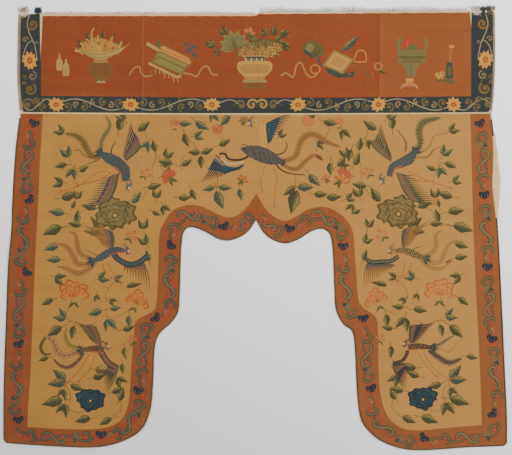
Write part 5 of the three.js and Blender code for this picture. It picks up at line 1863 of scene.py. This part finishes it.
def lay_pattern():
    """Everything woven into the four tapestry pieces, in the order it is laid."""
    lower, upper = Pattern(), Pattern()
    runs = (FIELD_LEFT, FIELD_ROUND_LEFT, FIELD_ROUND_RIGHT, FIELD_RIGHT)
    lower.area(np.vstack([spline(run)[k > 0 :] for k, run in enumerate(runs)]), "ochre")
    border_ornament(lower, BORDER_LEFT, BATS_LEFT, 0.5, "scroll")
    border_ornament(lower, BORDER_RIGHT, BATS_RIGHT, -0.5, "grey_green")
    field_ornament(lower, False)
    field_ornament(lower, True)
    middle_ornament(lower)
    ground = [(-445.3, 470), (-445.5, 275), (-235, 272.4), (0, 270.4), (176, 271.2), (449, 273.8),
              (449.6, 470)]
    upper.area(ground, "rust")
    # Painted light: the heading's ground is a paler rust right of the fold at x = 255, on the fold's lit
    # side.
    paler = finely(np.asarray(ground))
    upper.area(paler[paler[:, 0] > 255], "rust_lit")
    upper.line([(-444, 277), (446, 276)], 1.2, "brick_line")
    x = np.linspace(-447, 2, 90)
    upper.line(np.column_stack([x, 443.2 + 0.5 * np.sin(x / 7) * np.sin(x / 3)]), 4.6, "cream")
    x = np.linspace(8, 443, 90)
    upper.line(np.column_stack([x, top_right(x) - 1.4 + 0.4 * np.sin(x / 6)]), 3.0, "cream")
    heading_ornament(upper)
    return lower.areas, upper.areas


def make_tapestries():
    """The four tapestry pieces, each with its outline in plan, by row and side."""
    lower_areas, upper_areas = lay_pattern()
    made = {}
    for side in ("left", "right"):
        for row, areas, ground in (("upper", upper_areas, "night"), ("lower", lower_areas, "brick")):
            outline = (upper_half if row == "upper" else lower_half)(side == "left")
            obj = cloth_sheet(f"{row}_{side}_tapestry", outline, areas, ground, TAPESTRY_BASE,
                              TAPESTRY_THICKNESS, TAPESTRY_SPACING)
            slot = f"tapestry_{row}"
            finish_piece(obj, slot, slot, f"{row}_{side}")
            made[row, side] = (obj, outline)
    return made


def make_lining():
    """The plain silk under the whole cloth, and its outline in plan."""
    outline = lining_outline()
    obj = cloth_sheet("lining_silk", outline, [], "lining", 0.0, LINING_THICKNESS, LINING_SPACING)
    return finish_piece(obj, "lining", "lining", "lining"), outline


def make_pipings():
    """Cream seam piping, and brown edge piping in its three runs."""
    half = SEAM_HALF_LENGTH - 3
    seam = even(along_seam(-half, half + 2, 0, 60), 5)
    finish_piece(cord("seam_cord", seam, SEAM_WIDTH / 2, 1.0, TAPESTRY_BASE), "seam_cord",
                 "seam_cord", "seam_piping")
    rim = drawn_in(lower_outline(), PIPING_INSET + PIPING_WIDTH / 2)
    apex = int(np.argmin(np.linalg.norm(rim - (ARCH_POINT[0], 19.8), axis=1)))
    right = rim[apex:-1]
    top_limit = SEAM_Y - SEAM_WIDTH / 2 - 1.6
    runs = {
        "edge_piping_left": rim[1 : apex + 1] - [GAP, 0],
        "edge_piping_right": right[(right[:, 1] < 22) | (right[:, 0] < 300)] + [GAP, 0],
        "edge_piping_right_top": right[(right[:, 1] > 190) & (right[:, 0] > 300)],
    }
    for node_name, path in runs.items():
        path = even(path[path[:, 1] < top_limit], 4)
        piece = cord(f"{node_name}_cord", path, PIPING_WIDTH / 2, 0.95, TAPESTRY_BASE)
        finish_piece(piece, "edge_cord", "edge_cord", node_name)


def make_bindings():
    """Turned edges down the heading's sides: a rounded strip on each, the left one a little wider than the
    right.
    """
    made = {}
    for side, edge, sign in (("left", upper_left_edge, 1), ("right", upper_right_edge, -1)):
        width = BINDING_WIDTHS[side]
        path = even(edge, 5)
        path = path[(path[:, 1] > SEAM_Y + 4.4) & (path[:, 1] < 447)]
        path = path + [sign * (BINDING_INSET + width / 2), 0]
        piece = cord(f"side_binding_{side}_strip", path, width / 2, 0.8, TAPESTRY_BASE, 12)
        made[side] = finish_piece(piece, "binding", "binding", f"side_binding_{side}")
    return made


def fringe_rows(generator, start, stop, edge, pitch, length):
    """Roots, headings, lengths and bends of the loose warp ends along one half's top edge."""
    x = np.arange(start, stop, pitch)
    x = x + generator.uniform(-0.3, 0.3, len(x)) * pitch
    roots = np.column_stack([x, edge(x) + LINING_MARGIN + GAP + 0.6, generator.uniform(0, 0.7, len(x))])
    gather = 0.6 * np.sin(x / 9.0) * np.sin(x / 31.0)
    heading = np.pi / 2 + 0.7 * gather + generator.normal(0, 0.16, len(x))
    reach = length * generator.uniform(0.5, 1.0, len(x)) * (0.8 + 0.2 * np.sin(x / 23.0))
    bend = generator.normal(0, 0.7, len(x))
    return roots, heading, reach, bend


def make_fringes():
    """Frayed warp ends, rooted in the narrow woven header that remains along the top edge."""
    generator = np.random.default_rng(7)
    for side, start, stop, edge, pitch, length, thick, node_name in (
        ("left", -439, -1, lambda x: np.full_like(x, TOP_LEFT), 1.5, 6.4, 0.9, "fringe_left"),
        ("right", 12, 441, top_right, 0.95, 13.6, 0.7, "fringe_right"),
    ):
        roots, heading, reach, bend = fringe_rows(generator, start, stop, edge, pitch, length)
        width = thick * generator.uniform(0.6, 1.0, len(reach))
        limit = CAD_BOX[1][1] / MM - 0.4 - roots[:, 1]
        piece = threads(f"loose_warp_{side}", roots, heading, np.minimum(reach, limit), bend, width,
                        generator.uniform(0.1, 0.9, len(reach)))
        x = np.linspace(start, stop, 160)
        header = np.column_stack([x, edge(x) + LINING_MARGIN + GAP + 1.1 + 0.15 * np.sin(x / 3.1)])
        strip = cord(f"warp_header_{side}", header, 1.1, 0.5, 0.0)
        finish_piece(piece, "loose_warp", "loose_warp", node_name)
        finish_piece(strip, "loose_warp", "loose_warp")


def lump(name, at, size, height, seed):
    """A rounded lump flat on the surface: half a sphere stretched to size, its radius waved by
    three sines of the angle round and up."""
    rings, around = 9, 22
    up = np.linspace(0, np.pi / 2, rings)[:, None]
    a = np.linspace(0, 2 * np.pi, around, endpoint=False)[None, :]
    wave = np.sin(3 * a + seed) * np.cos(2 * up) + 0.6 * np.sin(5 * a + 2 * seed + 3 * up)
    wave = wave + 0.5 * np.cos(7 * a - seed + 5 * up)
    r = 1 + 0.22 * wave * np.cos(up) ** 0.5
    x = at[0] + 0.5 * size[0] * r * np.cos(up) * np.cos(a)
    y = at[1] + 0.5 * size[1] * r * np.cos(up) * np.sin(a)
    z = height * np.sin(up) * (1 + 0 * a)
    verts = np.stack([x, y, z], axis=-1).reshape(-1, 3)
    faces = ring_quads(rings, around).tolist()
    faces.append(list(range(around))[::-1])
    return new_object(name, verts, faces)


# Corner scraps and tufts as (name, node, x, y, width, depth, height, threads, thread length,
# fan in radians, material, slot)
TUFTS = [
    ("cream_scrap_left", "scrap_left", -481, 449.7, 17, 6.4, 1.5, 130, 12.0, 1.1,
     "loose_warp", "loose_warp"),
    ("teal_tuft", "tuft_left", -452, 452.4, 9.5, 11.0, 3.6, 170, 7.5, 5.6,
     "teal_threads", "dark_silk"),
    ("cream_scrap_right", "scrap_right", 459.5, 452.9, 17, 6.8, 1.3, 150, 11.0, 0.9,
     "loose_warp", "loose_warp"),
    ("green_tuft", "tuft_right_green", 475, 453.6, 8.0, 8.6, 2.6, 120, 9.0, 1.6,
     "green_threads", "dark_silk"),
    ("brown_tuft", "tuft_right_brown", 489.5, 453.8, 13, 8.8, 2.3, 140, 10.0, 1.2,
     "brown_threads", "brown_silk"),
]


# Threads that hang back over the band, and the height they start at
HANGING_SHARE = 0.35
HANGING_HEIGHT = 3.4
# How far single threads may reach past the solids' box
THREADS_PAST_BOX = 4


def make_tufts():
    """Each tuft is a waved lump with many curly threads lying over it, out of its far side and
    back over the band."""
    generator = np.random.default_rng(11)
    high_y = CAD_BOX[1][1] / MM + THREADS_PAST_BOX
    for name, node_name, x, y, width, depth, height, count, length, fan, material, slot in TUFTS:
        body = lump(f"{name}_mat", (x, y), (width, depth), height, x)
        finish_piece(body, material, slot, node_name)
        u = generator.uniform(-0.5, 0.5, count)
        v = generator.uniform(-0.45, 0.45, count)
        on_top = height * np.sqrt(np.clip(1 - 4 * u**2 - 4 * v**2, 0, 1)) * 0.9
        roots = np.column_stack([x + width * u, y + depth * v, np.maximum(0.0, on_top)])
        heading = np.pi / 2 - fan * u + generator.normal(0, 0.35, count)
        reach = length * generator.uniform(0.45, 1.0, count)
        reach = np.minimum(reach, np.maximum(2.0, high_y - roots[:, 1]))
        hanging = generator.random(count) < HANGING_SHARE
        heading = heading + np.pi * hanging
        roots[hanging, 1] = y - 0.3 * depth
        roots[hanging, 2] = np.maximum(roots[hanging, 2], HANGING_HEIGHT)
        piece = threads(f"{name}_threads", roots, heading, reach, generator.normal(0, 1.3, count),
                        generator.uniform(0.5, 0.95, count), generator.uniform(0.0, 0.8, count), 5, 9)
        finish_piece(piece, material, slot)
    roots = np.array([[-484, 446.5, 1.6], [-480, 447, 1.8], [-487, 448, 1.5], [-478, 449, 1.6],
                      [-483, 451, 1.7]])
    count = len(roots)
    piece = threads("brown_loose_threads", roots, np.array([1.9, 1.2, 1.5, 2.3, 1.0]),
                    np.array([19, 15, 14, 16, 13.0]), np.array([-2.2, 2.0, -1.6, -2.6, 1.9]),
                    np.full(count, 0.9), np.full(count, 1.2), 6, 14)
    finish_piece(piece, "brown_threads", "brown_silk")
    roots = np.array([[492, 449.5, 2.2], [493.2, 450, 2.2], [494, 449, 2.0]])
    piece = threads("cream_loose_threads", roots, np.array([1.75, 1.65, 1.5]),
                    np.array([10.5, 11, 9.0]), np.array([0.2, 0.1, -0.2]), np.full(3, 1.1),
                    np.full(3, 0.5), 6, 8)
    finish_piece(piece, "loose_warp", "loose_warp")


FLOOR_REACH = 6.0
# The floor's painted shade at its near left, and its own pale colour
FLOOR_SHADE = (0.45, 0.45, 0.455, 1)
FLOOR_LIGHT = (0.88, 0.88, 0.885, 1)


def make_stage():
    """Pale floor that the cloth lies on, well past the view on every side, with painted shade that darkens
    it towards its near left.
    """
    mesh = bpy.data.meshes.new("pale_floor")
    corners = [(-1, -1, 0), (1, -1, 0), (1, 1, 0), (-1, 1, 0)]
    mesh.from_pydata([Vector(q) * FLOOR_REACH for q in corners], [], [(0, 1, 2, 3)])
    floor = linked("pale_floor", mesh)
    material, tree, shader = painted("matt pale paint")
    place = node(tree, "ShaderNodeTexCoord").outputs["Object"]
    split = node(tree, "ShaderNodeSeparateXYZ", [(0, place)])
    # Painted shade: the floor darkens towards its left and its near side.
    aside = ranged(tree, split.outputs["X"], -0.53, 0.53, 0.0, 0.45)
    away = ranged(tree, split.outputs["Y"], -0.47, 0.3, 0.0, 0.55)
    colour = mixed(tree, add(tree, aside, away), FLOOR_SHADE, FLOOR_LIGHT)
    tree.links.new(colour, shader.inputs["Base Color"])
    shader.inputs["Roughness"].default_value = 0.9
    shader.inputs["Specular IOR Level"].default_value = 0.1
    floor.data.materials.append(material)


LAMP_SIZE = 2.6
SURROUND_STRENGTH = 0.96


def add_lamp(name, energy, at):
    """A broad square lamp that faces the cloth's middle."""
    data = bpy.data.lights.new(name, "AREA")
    data.energy = energy
    data.size = LAMP_SIZE
    lamp = linked(name, data)
    lamp.location = at
    lamp.rotation_euler = (-Vector(at)).to_track_quat("-Z", "Y").to_euler()


def make_lights():
    """Two broad lamps from above and either side, and an even pale surround."""
    add_lamp("broad_left", 124, (-2.2, 0.9, 3.0))
    add_lamp("broad_right", 150, (2.4, 0.9, 3.0))
    world = bpy.data.worlds.new("pale_surround")
    world.use_nodes = True
    background = world.node_tree.nodes["Background"]
    background.inputs["Color"].default_value = (1, 1, 1, 1)
    background.inputs["Strength"].default_value = SURROUND_STRENGTH
    bpy.context.scene.world = world


# Camera: straight above, its 512 by 455 frame 1.065 m wide at the cloth's face
VIEW_WIDTH = 1.0650
VIEW_CENTRE = (0.0017, 0.0008)
LENS = 90.0
SENSOR = 36.0


def make_camera():
    data = bpy.data.cameras.new("above")
    data.lens = LENS
    data.sensor_width = SENSOR
    data.clip_end = 50
    camera = linked("above", data)
    camera.location = (*VIEW_CENTRE, VIEW_WIDTH * LENS / SENSOR + FACE_HEIGHT * MM)
    bpy.context.scene.camera = camera


make_camera()
make_stage()
make_lights()
tapestries = make_tapestries()
lining, lining_plan = make_lining()
make_pipings()
bindings = make_bindings()
make_fringes()
make_tufts()
